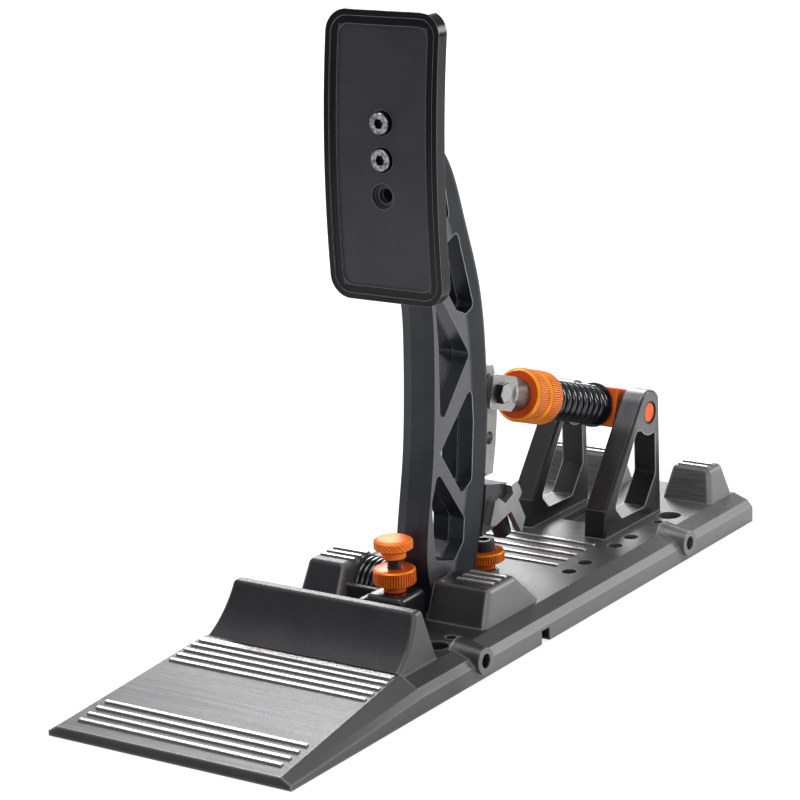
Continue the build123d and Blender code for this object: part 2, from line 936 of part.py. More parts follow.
def socket_screw(start, direction, radius, length, head_radius, head_height, flats):
    x_side = (0, 1, 0) if abs(direction[0]) > abs(direction[1]) else (1, 0, 0)
    plane = Plane(origin=start, x_dir=x_side, z_dir=direction)
    head = Cylinder(head_radius, head_height, align=(Align.CENTER, Align.CENTER, Align.MAX))
    head = chamfer(head.edges().sort_by(Axis.Z)[0], chamfer_size)
    shank = Cylinder(radius, length, align=(Align.CENTER, Align.CENTER, Align.MIN))
    socket_depth = head_height * socket_depth_share
    socket = Pos(0, 0, -head_height - overrun) * hexagon_prism(flats, socket_depth + overrun)
    return plane * (head + shank - socket)


def m5_screw(start, direction, length):
    return socket_screw(
        start, direction, m5_radius, length, m5_head_radius, m5_head_height, m5_socket_flats
    )


def m6_screw(start, direction, length):
    return socket_screw(
        start, direction, m6_radius, length, m6_head_radius, m6_head_height, m6_socket_flats
    )


def screws_from_below(places):
    screws = []
    for x, distance in places:
        start = (x, from_front(distance), m5_head_height)
        screws.append(m5_screw(start, (0, 0, 1), deck_height))
    return screws


arm_front_shares = (
    (-0.173, 0.013),
    (-0.253, 0.096),
    (-0.225, 0.159),
    (-0.132, 0.281),
    (-0.090, 0.378),
    (-0.063, 0.503),
    (-0.070, 0.579),
    (-0.133, 0.651),
    (-0.250, 0.732),
    (-0.330, 0.790),
)
arm_top_shares = ((-0.330, 0.790), (-0.330, 1.000), (-0.200, 1.000), (-0.033, 0.962), (0.188, 0.884))
arm_rear_shares = (
    (0.188, 0.884),
    (0.305, 0.841),
    (0.462, 0.732),
    (0.622, 0.596),
    (0.682, 0.420),
    (0.675, 0.332),
    (0.613, 0.204),
    (0.530, 0.099),
    (0.425, 0.026),
)
arm_under_shares = ((0.425, 0.026), (0.308, 0.030), (0.160, 0.006))
arm_pocket_shares = (
    ((0.252, 0.560), (0.378, 0.545), (0.478, 0.555), (0.300, 0.711), (0.100, 0.687), (0.050, 0.638)),
    ((-0.025, 0.629), (0.103, 0.581), (0.402, 0.464), (-0.005, 0.345), (0.008, 0.500)),
    ((0.417, 0.403), (0.425, 0.329), (0.375, 0.213), (0.237, 0.196), (-0.022, 0.295)),
    ((-0.060, 0.262), (0.262, 0.145), (0.237, 0.098), (0.110, 0.070), (-0.135, 0.088), (-0.150, 0.205)),
    ((0.208, 0.740), (0.150, 0.826), (-0.017, 0.826), (-0.117, 0.776), (-0.050, 0.740)),
)


def plate_ring(outer_radius, inner_radius):
    ring = Circle(outer_radius) - Circle(inner_radius)
    return Pos(plate_axis_y, plate_crown_height) * ring


def plate_holes_places():
    return [plate_screw_top - index * plate_screw_pitch for index in range(plate_holes)]


def arm_side_edges(body, at_rear):
    side_reach = arm_width / 2 - chamfer_size
    return body.edges().filter_by(
        lambda edge: abs(edge.center().X - mechanism_x) > side_reach
        and (edge.center().Y > pivot_y) == at_rear
        and edge.length > arm_rise / 2
    )


def pedal_arm():
    front = Spline(*arm_points(arm_front_shares))
    top = Polyline(*arm_points(arm_top_shares))
    rear = Spline(*arm_points(arm_rear_shares))
    under = ThreePointArc(*arm_points(arm_under_shares))
    closing = Polyline(
        arm_points(arm_under_shares)[-1],
        (pivot_y, pivot_height),
        arm_points(arm_front_shares)[0],
    )
    outline = front.edges() + top.edges() + rear.edges() + under.edges() + closing.edges()
    body = prism_along_x(make_face(outline), arm_left, arm_right)
    front_face = body.faces().filter_by(GeomType.PLANE, reverse=True).sort_by(Axis.Y)[0]
    body = chamfer(
        arm_side_edges(body, False), arm_front_bevel, arm_front_bevel_depth, reference=front_face
    )
    body = fillet(arm_side_edges(body, True), arm_rear_rounding)
    body += cylinder_x(hub_radius, arm_left, arm_right, pivot_y, pivot_height)
    for shares in arm_pocket_shares:
        pocket = polygon(arm_points(shares))
        pocket = fillet(pocket.vertices(), arm_pocket_corner)
        depth = arm_width / 2 + chamfer_size
        for side in (1, -1):
            plane = Plane(
                origin=(mechanism_x + side * arm_width / 2, 0, 0),
                x_dir=(0, side, 0),
                z_dir=(side, 0, 0),
            )
            mirrored = pocket if side == 1 else mirror(pocket, Plane.YZ)
            placed = plane * mirrored
            body -= extrude(placed, -depth, taper=-arm_pocket_draft)
    pad = plate_ring(plate_curve_radius + plate_length, plate_curve_radius - plate_thickness)
    pad_room = prism_along_x(pad, arm_left - overrun, arm_right + overrun)
    body -= pad_room & plate_prism(0)
    body -= arm_cuts()
    return body


def arm_cuts():
    cuts = []
    screw_start = (mechanism_x, foot_screw_head_y(), foot_screw_height)
    screw_length = foot_length + m5_head_height
    cuts.append(cylinder(screw_start, (0, -1, 0), m5_radius + seat_clearance, screw_length))
    bore = shaft_radius + seat_clearance
    cuts.append(cylinder_x(bore, arm_left - overrun, arm_right + overrun, pivot_y, pivot_height))
    hole = torsion_wire / 2 + soft_clearance
    leg_place = torsion_leg_places()[0]
    cuts.append(cylinder_x(hole, arm_left - overrun, arm_left + torsion_leg, *leg_place))
    screw_room = plate_screw_length + overrun + plate_thickness
    for z in plate_holes_places():
        start = (mechanism_x, from_front(plate_front), z)
        cuts.append(cylinder(start, (0, 1, 0), m6_radius + seat_clearance, screw_room))
    lug_half = lug_thickness / 2 + seat_clearance
    slot = offset(lug_outline(), seat_clearance)
    cuts.append(prism_along_x(slot, mechanism_x - lug_half, mechanism_x + lug_half))
    for z in lug_screw_heights():
        y = lug_tongue_front() + lug_tongue / 2
        cuts.append(cylinder_x(m5_radius / 2 + seat_clearance * 2, arm_left - overrun, mechanism_x, y, z))
    cuts.append(
        cylinder(
            (mechanism_x, pivot_y, pivot_height - hub_radius - overrun),
            (0, 0, 1),
            set_screw_radius + seat_clearance,
            hub_radius + overrun - shaft_radius + seat_clearance,
        )
    )
    return cuts


def lug_tongue_front():
    return arm_points(arm_rear_shares)[5][0] - lug_tongue


def lug_screw_heights():
    drop_share = 0.22
    middle = clevis_pin_z - lug_height * drop_share
    return (middle - lug_screw_pitch / 2, middle + lug_screw_pitch / 2)


lug_shares = (
    (0.0, 0.135),
    (0.0, 0.895),
    (0.62, 1.0),
    (0.86, 0.985),
    (1.0, 0.78),
    (0.925, 0.47),
    (0.845, 0.255),
    (0.715, 0.03),
    (0.45, 0.03),
    (0.40, 0.135),
)


def lug_outline():
    below_pin_share = 0.745
    y_from = lug_tongue_front()
    bottom = clevis_pin_z - lug_height * below_pin_share
    width = lug_reach - lug_ear_radius / 2
    points = []
    for reach_share, height_share in lug_shares:
        points.append((y_from + reach_share * width, bottom + height_share * lug_height))
    return polygon(points) + Pos(clevis_pin_y, clevis_pin_z) * Circle(lug_ear_radius)


def lug_plate():
    half = lug_thickness / 2
    body = prism_along_x(lug_outline(), mechanism_x - half, mechanism_x + half)
    reach = half + overrun
    bore = strut_pin_radius + running_clearance
    body -= cylinder_x(bore, mechanism_x - reach, mechanism_x + reach, clevis_pin_y, clevis_pin_z)
    ahead_share, below_share = 0.77, 0.39
    small_y = clevis_pin_y - lug_ear_radius * ahead_share
    small_z = clevis_pin_z - lug_height * below_share
    body -= cylinder_x(lug_hole_radius, mechanism_x - reach, mechanism_x + reach, small_y, small_z)
    for z in lug_screw_heights():
        y = lug_tongue_front() + lug_tongue / 2
        bore = m5_radius / 2 + seat_clearance
        body -= cylinder_x(bore, mechanism_x - reach, mechanism_x + overrun, y, z)
    return body


def lug_pins():
    pins = []
    for z in lug_screw_heights():
        y = lug_tongue_front() + lug_tongue / 2
        pins.append(cylinder_x(m5_radius / 2, arm_left, mechanism_x, y, z))
    return pins


def pedal_plate():
    band = plate_ring(plate_curve_radius, plate_curve_radius - plate_thickness + seat_clearance)
    half = plate_width / 2
    body = prism_along_x(band, mechanism_x - half, mechanism_x + half)
    body = body & plate_prism(0)
    for inset, depth in ((plate_rim_step, plate_step_depth), (plate_rim, plate_panel_depth)):
        cut = plate_ring(plate_curve_radius + overrun, plate_curve_radius - depth)
        recess = prism_along_x(cut, mechanism_x - half, mechanism_x + half)
        body -= recess & plate_prism(inset)
    for z in plate_holes_places():
        start = (mechanism_x, from_front(plate_front) - overrun, z)
        body -= cylinder(start, (0, 1, 0), m6_radius + soft_clearance, plate_thickness + 3 * overrun)
        head_cut = overrun + plate_screw_seat()
        body -= cylinder(start, (0, 1, 0), m6_head_radius + 2 * soft_clearance, head_cut)
    return body


def plate_screw_seat():
    seat_share = 0.62
    return plate_thickness * seat_share


def plate_prism(inset):
    corner_share = 0.8
    outline = RectangleRounded(
        plate_width - 2 * inset, plate_length - 2 * inset, plate_corner - inset * corner_share
    )
    rear = from_front(plate_front) + plate_length / 4
    plane = Plane(origin=(mechanism_x, rear, plate_centre_height), x_dir=(1, 0, 0), z_dir=(0, -1, 0))
    return extrude(plane * outline, plate_length / 2)


def plate_screw_set():
    screws = []
    for z in plate_holes_places()[:plate_screws]:
        rise = z - plate_crown_height
        bow = plate_curve_radius - math.sqrt(plate_curve_radius**2 - rise**2)
        start_y = from_front(plate_front) + plate_screw_seat()
        start = (mechanism_x, start_y, z)
        length = plate_screw_length + bow
        screws.append(m6_screw(start, (0, 1, 0), length))
    return screws


def pivot_shaft():
    shaft = cylinder_x(shaft_radius, shaft_left_end, shaft_right_end, pivot_y, pivot_height)
    magnet_seat = cylinder_x(
        magnet_radius + seat_clearance,
        shaft_right_end - magnet_length,
        shaft_right_end + overrun,
        pivot_y,
        pivot_height,
    )
    return shaft - magnet_seat


def pivot_bush(x_from):
    outer = cylinder_x(bush_radius, x_from, x_from + bush_length, pivot_y, pivot_height)
    bore = shaft_radius + running_clearance
    inner = cylinder_x(bore, x_from - overrun, x_from + bush_length + overrun, pivot_y, pivot_height)
    return outer - inner


def ring_x(outer_radius, inner_radius, x_from, x_to):
    outer = cylinder_x(outer_radius, x_from, x_to, pivot_y, pivot_height)
    inner = cylinder_x(inner_radius, x_from - overrun, x_to + overrun, pivot_y, pivot_height)
    return outer - inner


def biarc(start, start_direction, end, end_direction):
    chord = end - start
    total = start_direction + end_direction
    a = 4 - total.dot(total)
    b = 2 * chord.dot(total)
    c = -chord.dot(chord)
    reach = (-b + math.sqrt(b * b - 4 * a * c)) / (2 * a)
    first = start + start_direction * reach
    second = end - end_direction * reach
    middle = (first + second) * 0.5
    middle_direction = (second - first).normalized()
    arcs = [
        TangentArc(start, middle, tangent=start_direction),
        TangentArc(middle, end, tangent=middle_direction),
    ]
    return arcs


def sweep_wire(edges, radius, start, direction):
    path = Wire([edge for piece in edges for edge in piece.edges()])
    section = Plane(origin=start, z_dir=direction) * Circle(radius)
    return sweep(section, path=path)


def least_gap(edges, wire, skip_length):
    step = wire / 2
    points = []
    travelled = 0
    for piece in edges:
        for edge in piece.edges():
            count = max(2, math.ceil(edge.length / step))
            for index in range(count):
                share = index / count
                points.append((travelled + edge.length * share, edge @ share))
            travelled += edge.length
    least = math.inf
    for first_index, (first_place, first_point) in enumerate(points):
        for second_place, second_point in points[first_index + 1 :]:
            if second_place - first_place > skip_length:
                least = min(least, (second_point - first_point).length)
    return least - wire


def torsion_stations():
    stations = []
    start_x = arm_left - torsion_arm_gap
    step = torsion_pitch / 4
    slope = torsion_pitch / (2 * math.pi * torsion_radius)
    for quarter in range(torsion_quarters + 1):
        angle = math.radians(torsion_arm_angle + 90 * quarter)
        point = Vector(
            start_x - step * quarter,
            pivot_y + torsion_radius * math.cos(angle),
            pivot_height + torsion_radius * math.sin(angle),
        )
        direction = Vector(-slope, -math.sin(angle), math.cos(angle)).normalized()
        stations.append((point, direction))
    return stations


def torsion_leg_ends():
    stations = torsion_stations()
    first_point, first_direction = stations[0]
    last_point, last_direction = stations[-1]
    right = first_point - first_direction * torsion_bend + Vector(torsion_bend, 0, 0)
    left = last_point + last_direction * torsion_bend - Vector(torsion_bend, 0, 0)
    return right, left


def torsion_leg_places():
    right, left = torsion_leg_ends()
    return (right.Y, right.Z), (left.Y, left.Z)


def torsion_spring():
    stations = torsion_stations()
    right, left = torsion_leg_ends()
    right_end = Vector(arm_left + torsion_leg - soft_clearance, right.Y, right.Z)
    left_end = Vector(left_shoulder_inner - torsion_leg + soft_clearance, left.Y, left.Z)
    inward = Vector(-1, 0, 0)
    edges = [Line(right_end, right)]
    edges += biarc(right, inward, stations[0][0], stations[0][1])
    for (point, direction), (next_point, next_direction) in zip(stations, stations[1:]):
        edges += biarc(point, direction, next_point, next_direction)
    edges += biarc(stations[-1][0], stations[-1][1], left, inward)
    edges.append(Line(left, left_end))
    gap = least_gap(edges, torsion_wire, math.pi * torsion_radius)
    print(f"torsion_spring: least gap to itself {gap:.2f} mm")
    return sweep_wire(edges, torsion_wire / 2, right_end, inward)


def strut_places():
    fork_end = clevis_length
    body_end = fork_end + clevis_body_length
    first_end = body_end + preload_nut_length
    second_start = first_end + preload_nut_gap
    second_end = second_start + preload_nut_rear_length
    block_start = strut_length - block_length / 2
    block_end = strut_length + block_length / 2
    return fork_end, body_end, first_end, second_start, second_end, block_start, block_end


def clevis():
    fork_end, body_end, *_ = strut_places()
    corner_share = 1 / 3
    half_height = clevis_height / 2
    corner = half_height * corner_share
    outline = polygon(
        [
            (-clevis_nose, -half_height),
            (fork_end - corner, -half_height),
            (fork_end, corner - half_height),
            (fork_end, half_height - corner),
            (fork_end - corner, half_height),
            (-clevis_nose, half_height),
        ]
    )
    nose = outline.vertices().filter_by(lambda vertex: vertex.X < 0)
    outline = fillet(nose, clevis_nose_rounding)
    profile_plane = Plane(
        origin=(mechanism_x - clevis_width / 2, clevis_pin_y, clevis_pin_z),
        x_dir=strut_plane.z_dir,
        z_dir=(1, 0, 0),
    )
    fork = extrude(profile_plane * outline, clevis_width)
    slot_half = lug_thickness / 2 + soft_clearance
    slot_plane = Plane(
        origin=(mechanism_x - slot_half, clevis_pin_y, clevis_pin_z),
        x_dir=strut_plane.z_dir,
        z_dir=(1, 0, 0),
    )
    slot_end = lug_ear_radius + 2 * soft_clearance
    slot_length = slot_end + clevis_height
    slot_box = Pos(slot_end - slot_length / 2, 0) * Rectangle(slot_length, clevis_height * 2)
    body = fork + strut_cylinder(clevis_body_radius, fork_end - overrun, body_end)
    body -= extrude(slot_plane * slot_box, 2 * slot_half)
    bore = strut_pin_radius + running_clearance
    low, high = mechanism_x - clevis_width, mechanism_x + clevis_width
    body -= cylinder_x(bore, low, high, clevis_pin_y, clevis_pin_z)
    body -= strut_cylinder(rod_radius + seat_clearance, body_end - rod_socket, body_end + overrun)
    return body


def clevis_bolt():
    half = clevis_width / 2
    shank = cylinder_x(
        strut_pin_radius,
        mechanism_x - half - clevis_nut_height,
        mechanism_x + half,
        clevis_pin_y,
        clevis_pin_z,
    )
    head_plane = Plane(
        origin=(mechanism_x + half, clevis_pin_y, clevis_pin_z), x_dir=(0, 1, 0), z_dir=(1, 0, 0)
    )
    head = hexagon_prism(clevis_bolt_flats, clevis_bolt_head)
    head = chamfer(head.edges().group_by(Axis.Z)[-1], chamfer_size)
    return shank + head_plane * head


def clevis_nut():
    half = clevis_width / 2
    nut_plane = Plane(
        origin=(mechanism_x - half, clevis_pin_y, clevis_pin_z), x_dir=(0, 1, 0), z_dir=(-1, 0, 0)
    )
    nut = hexagon_prism(clevis_nut_flats, clevis_nut_height)
    nut -= Cylinder(
        strut_pin_radius + seat_clearance,
        clevis_nut_height * 3,
        align=(Align.CENTER, Align.CENTER, Align.CENTER),
    )
    return nut_plane * nut


def rod_end():
    return strut_places()[6] + soft_clearance + washer_thickness + rod_nut_height + rod_tail


def strut_rod():
    body_end = strut_places()[1]
    rod = strut_cylinder(rod_radius, body_end - rod_socket + seat_clearance, rod_end())
    return rod


def rod_nut():
    start = strut_places()[6] + soft_clearance
    bore = rod_radius + seat_clearance
    washer = strut_cylinder(rod_nut_flats / 2 + washer_thickness, start, start + washer_thickness)
    nut = strut_plane * Pos(0, 0, start + washer_thickness) * hexagon_prism(rod_nut_flats, rod_nut_height)
    return washer + nut - strut_cylinder(bore, start - overrun, rod_end())


def preload_nut(start, end):
    body = Cylinder(preload_nut_radius, end - start, align=(Align.CENTER, Align.CENTER, Align.MIN))
    body = chamfer(body.edges(), preload_nut_chamfer)
    bore = rod_radius + running_clearance
    body -= Cylinder(bore, (end - start) * 3)
    return strut_plane * Pos(0, 0, start) * body


def strut_washer(start, bore):
    ring = strut_cylinder(spring_washer_radius, start, start + washer_thickness)
    return ring - strut_cylinder(bore, start - overrun, start + washer_thickness + overrun)


def spring_stations():
    *_, second_end, block_start, _ = strut_places()
    radius = spring_outer_radius - spring_wire / 2
    first = second_end + washer_thickness + spring_wire / 2 + running_clearance
    last = block_start - washer_thickness - spring_wire / 2 - running_clearance
    closed_step = (spring_wire + spring_closed_gap) / 4
    closed_steps = [closed_step] * spring_closed_quarters
    active_run = last - first - 2 * sum(closed_steps)
    active_quarters = round(4 * active_run / spring_pitch)
    steps = closed_steps + [active_run / active_quarters] * active_quarters + closed_steps
    stations = []
    place = first
    for quarter in range(len(steps) + 1):
        angle = math.radians(90 * quarter)
        before = steps[max(quarter - 1, 0)]
        after = steps[min(quarter, len(steps) - 1)]
        slope = (before + after) / 2 / (radius * math.pi / 2)
        point = Vector(radius * math.cos(angle), radius * math.sin(angle), place)
        direction = Vector(-math.sin(angle), math.cos(angle), slope).normalized()
        stations.append((point, direction))
        place += after
    return stations


def compression_spring():
    stations = spring_stations()
    first_point, first_direction = stations[0]
    last_point, last_direction = stations[-1]
    flat_first = Vector(first_direction.X, first_direction.Y, 0).normalized()
    flat_last = Vector(last_direction.X, last_direction.Y, 0).normalized()
    stations[0] = (first_point, flat_first)
    stations[-1] = (last_point, flat_last)
    start = first_point - flat_first * spring_wire
    end = last_point + flat_last * spring_wire
    edges = [Line(start, first_point)]
    for (point, direction), (next_point, next_direction) in zip(stations, stations[1:]):
        edges += biarc(point, direction, next_point, next_direction)
    edges.append(Line(last_point, end))
    radius = spring_outer_radius - spring_wire / 2
    gap = least_gap(edges, spring_wire, math.pi * radius)
    print(f"compression_spring: least gap to itself {gap:.2f} mm")
    return strut_plane * sweep_wire(edges, spring_wire / 2, start, flat_first)


def trunnion_block():
    *_, block_start, _ = strut_places()
    body = Box(block_width, block_height, block_length, align=(Align.CENTER, Align.CENTER, Align.MIN))
    body = chamfer(body.edges(), block_chamfer)
    body -= Cylinder(block_bush_radius + seat_clearance, block_length * 3)
    body = strut_plane * Pos(0, 0, block_start) * body
    for side in (1, -1):
        face_x = mechanism_x + side * block_width / 2
        low, high = sorted((face_x - side * trunnion_pin_grip, face_x + side * overrun))
        body -= cylinder_x(trunnion_pin_radius + seat_clearance, low, high, trunnion_y, trunnion_height)
    return body


def block_bush():
    *_, block_start, block_end = strut_places()
    outer = strut_cylinder(block_bush_radius, block_start, block_end)
    bore = rod_radius + rod_slide_clearance
    return outer - strut_cylinder(bore, block_start - overrun, block_end + overrun)


def trunnion_pins():
    pins = []
    for side in (1, -1):
        inner = mechanism_x + side * (block_width / 2 - trunnion_pin_grip + seat_clearance)
        outer = mechanism_x + side * (frame_gap / 2 + frame_thickness - trunnion_pin_inset)
        low, high = sorted((inner, outer))
        pin = cylinder_x(trunnion_pin_radius, low, high, trunnion_y, trunnion_height)
        outer_edge = pin.edges().filter_by(lambda edge: abs(edge.center().X - outer) < seat_clearance)
        pins.append(chamfer(outer_edge, chamfer_size))
    return pins


def trunnion_spacers():
    spacers = []
    for side in (1, -1):
        inner = mechanism_x + side * (block_width / 2 + seat_clearance)
        outer = mechanism_x + side * (frame_gap / 2 - running_clearance)
        low, high = sorted((inner, outer))
        ring = cylinder_x(trunnion_spacer_radius, low, high, trunnion_y, trunnion_height)
        bore = trunnion_pin_radius + seat_clearance
        ring -= cylinder_x(bore, low - overrun, high + overrun, trunnion_y, trunnion_height)
        spacers.append(ring)
    return spacers


def bumper_top():
    return rear_stop_bottom() + rear_collar_length + rear_ring_height + bumper_height


def foot_bottom_face():
    travel = math.radians(swing_travel)
    landing_y = rear_stop_from_front - pivot_from_front
    landing_z = bumper_top() + foot_landing_gap - pivot_height
    y = landing_y * math.cos(travel) - landing_z * math.sin(travel)
    z = landing_z * math.cos(travel) + landing_y * math.sin(travel)
    return pivot_y + y, pivot_height + z, math.tan(travel)


def arm_rear_side(gap):
    points = arm_points(arm_rear_shares)
    shifted = [(y + gap, z) for y, z in points]
    front = pivot_y - arm_reach
    closing = Polyline(shifted[-1], (front, points[-1][1]), (front, points[0][1]), shifted[0])
    return make_face(Spline(*shifted).edges() + closing.edges())


def foot_front():
    return arm_points(arm_rear_shares)[-2][0] - overrun


def stop_foot():
    contact_y, contact_z, slope = foot_bottom_face()
    y_from = foot_front()
    y_base = from_front(bracket_start) + foot_base_length
    y_to = y_from + foot_length + overrun
    heel_shares = ((0.45, 0.22), (0.72, 0.45), (1.0, 0.62), (1.0, 0.70))
    z_from = contact_z + (y_from - contact_y) * slope
    z_base = contact_z + (y_base - contact_y) * slope
    points = [(y_from, z_from), (y_base, z_base)]
    for run_share, rise_share in heel_shares:
        z = z_base + (foot_top_height - z_base) * rise_share
        points.append((y_base + (y_to - y_base) * run_share, z))
    points.append((y_from, foot_top_height))
    side = polygon(points)
    left = mechanism_x - arm_width / 2 - seat_clearance
    body = prism_along_x(side, left, left + foot_width)
    body -= prism_along_x(arm_rear_side(seat_clearance), left - overrun, left + foot_width + overrun)
    return body - foot_screw_space()


def foot_screw_space():
    length = 2 * foot_length
    start = (mechanism_x, foot_front() - overrun, foot_screw_height)
    hole = cylinder(start, (0, 1, 0), m5_radius + seat_clearance, length)
    head_start = (mechanism_x, foot_screw_head_y() - m5_head_height, foot_screw_height)
    return hole + cylinder(head_start, (0, 1, 0), m5_head_radius + running_clearance, length)


def foot_screw_head_y():
    head_share = 0.66
    return foot_front() + foot_length * head_share


def foot_screw():
    start = (mechanism_x, foot_screw_head_y() - m5_head_height, foot_screw_height)
    return m5_screw(start, (0, -1, 0), foot_length)


bracket_shares = (
    (0.0, 0.42),
    (0.146, 0.375),
    (0.594, 0.50),
    (0.882, 0.0),
    (1.0, 0.252),
    (0.816, 0.638),
    (0.917, 0.744),
    (0.865, 0.886),
    (0.795, 0.976),
    (0.722, 1.0),
    (0.625, 0.972),
    (0.674, 0.809),
    (0.441, 0.695),
    (0.264, 0.850),
    (0.153, 0.829),
)


def foot_bracket():
    points = []
    for length_share, rise_share in bracket_shares:
        y = from_front(bracket_start) + length_share * bracket_length
        points.append((y, bracket_bottom + rise_share * bracket_rise))
    left = mechanism_x - arm_width / 2 + foot_width
    return prism_along_x(polygon(points), left, left + bracket_thickness)


def foot_pad():
    lean = math.radians(pad_lean)
    x = mechanism_x - arm_width / 2 + foot_width - pad_inset
    start = (x, from_front(pad_from_front), pad_top_height)
    body = cylinder(start, (0, math.sin(lean), -math.cos(lean)), pad_radius, pad_length)
    body = chamfer(body.edges().sort_by(Axis.Z)[0], chamfer_size)
    return body - stop_foot() - foot_screw_space()


def stop_seat():
    low = mechanism_x - seat_width / 2
    body = block(
        low,
        low + seat_width,
        from_front(seat_start),
        from_front(seat_end),
        deck_height,
        deck_height + seat_height,
    )
    upper_edges = body.edges().filter_by(lambda edge: edge.center().Z > deck_height + chamfer_size)
    body = fillet(upper_edges, seat_rounding)
    front_y = from_front(front_stop_from_front)
    bore = insert_radius + seat_clearance
    top = deck_height + seat_height + overrun
    body -= cylinder_z(bore, deck_height - overrun, top, mechanism_x, front_y)
    for x, distance in seat_screw_places():
        hole = m5_radius + seat_clearance
        body -= cylinder_z(hole, 0, deck_height + m5_head_height, x, from_front(distance))
    return body


def adjuster_insert():
    y = from_front(front_stop_from_front)
    outer = cylinder_z(insert_radius, deck_height, deck_height + seat_height, mechanism_x, y)
    bore = front_stud_radius + running_clearance
    top = deck_height + seat_height + overrun
    return outer - cylinder_z(bore, deck_height - overrun, top, mechanism_x, y)


def adjuster_ring(distance, bottom, collar_length, ring_height, bore):
    y = from_front(distance)
    ring = Cylinder(adjuster_ring_radius, ring_height, align=(Align.CENTER, Align.CENTER, Align.MIN))
    ring = chamfer(ring.edges(), chamfer_size)
    body = Pos(mechanism_x, y, bottom + collar_length) * ring
    collar_top = bottom + collar_length + chamfer_size
    body += cylinder_z(adjuster_collar_radius, bottom, collar_top, mechanism_x, y)
    top = bottom + collar_length + ring_height + overrun
    return body - cylinder_z(bore, bottom - overrun, top, mechanism_x, y)


def front_ring_top():
    return deck_height + seat_height + running_clearance + front_collar_length + front_ring_height


def front_stop_stud():
    y = from_front(front_stop_from_front)
    top = front_ring_top() + front_stud_gap + knob_flange_height
    return cylinder_z(front_stud_radius, deck_height, top, mechanism_x, y)


def front_stop_knob():
    y = from_front(front_stop_from_front)
    bottom = front_ring_top() + front_stud_gap
    knob = Cylinder(knob_radius, knob_height, align=(Align.CENTER, Align.CENTER, Align.MIN))
    knob = chamfer(knob.edges(), chamfer_size)
    body = Pos(mechanism_x, y, bottom + knob_flange_height) * knob
    flange_top = bottom + knob_flange_height
    body += cylinder_z(knob_flange_radius, bottom, flange_top + chamfer_size, mechanism_x, y)
    bore = front_stud_radius + seat_clearance
    return body - cylinder_z(bore, bottom - overrun, flange_top + seat_clearance, mechanism_x, y)


def rear_stop_bottom():
    return deck_height + rear_pad_height + running_clearance


def rear_bumper():
    y = from_front(rear_stop_from_front)
    bottom = rear_stop_bottom() + rear_collar_length + rear_ring_height
    body = Cylinder(bumper_radius, bumper_height, align=(Align.CENTER, Align.CENTER, Align.MIN))
    body = fillet(body.edges().sort_by(Axis.Z)[-1], chamfer_size * 2)
    body -= Cylinder(rear_stud_radius + running_clearance, bumper_height * 3)
    return Pos(mechanism_x, y, bottom) * body


def rear_stop_stud():
    y = from_front(rear_stop_from_front)
    top = rear_stop_bottom() + rear_collar_length + rear_ring_height
    return cylinder_z(rear_stud_radius, top - rear_stud_length, top, mechanism_x, y)


def left_plug():
    x_from = shaft_left_end - plug_length - soft_clearance
    plug = cylinder_x(bush_radius, x_from, x_from + plug_length, pivot_y, pivot_height)
    plane = Plane(origin=(x_from, pivot_y, pivot_height), x_dir=(0, 1, 0), z_dir=(1, 0, 0))
    socket = hexagon_prism(m6_socket_flats, plug_length * socket_depth_share)
    return plug - plane * socket


def sensor_board():
    board_left = sensor_places()[1]
    bottom = sensor_cover_thickness + seat_clearance
    return block(
        board_left,
        board_left + sensor_board_thickness,
        from_front(sensor_pocket_start) + soft_clearance,
        from_front(sensor_pocket_end) - soft_clearance,
        bottom,
        sensor_pocket_height - soft_clearance,
    )


def sensor_chip():
    chip_left, board_left, _ = sensor_places()
    half = magnet_radius
    return block(
        chip_left,
        board_left,
        pivot_y - half,
        pivot_y + half,
        pivot_height - half,
        pivot_height + half,
    )


def sensor_cover():
    pocket_left = sensor_places()[2]
    gap = soft_clearance
    return block(
        pocket_left - sensor_cover_margin + gap,
        half_width - skirt_wall - overrun - gap,
        from_front(sensor_pocket_start - sensor_cover_margin) + gap,
        from_front(sensor_pocket_end + sensor_cover_margin) - gap,
        0,
        sensor_cover_thickness,
    )


def cable_terminal():
    left = sensor_places()[1] + sensor_board_thickness + terminal_gap
    y = from_front(notch_from_front) - soft_clearance
    bottom = sensor_cover_thickness + seat_clearance
    return block(
        left,
        half_width - skirt_wall - overrun,
        y - terminal_width / 2 + soft_clearance,
        y + terminal_width / 2 - soft_clearance,
        bottom,
        bottom + terminal_height - soft_clearance,
    )


def set_screw():
    top = pivot_height - shaft_radius - seat_clearance
    bottom = top - set_screw_length + seat_clearance
    return cylinder_z(set_screw_radius, bottom, top, mechanism_x, pivot_y)


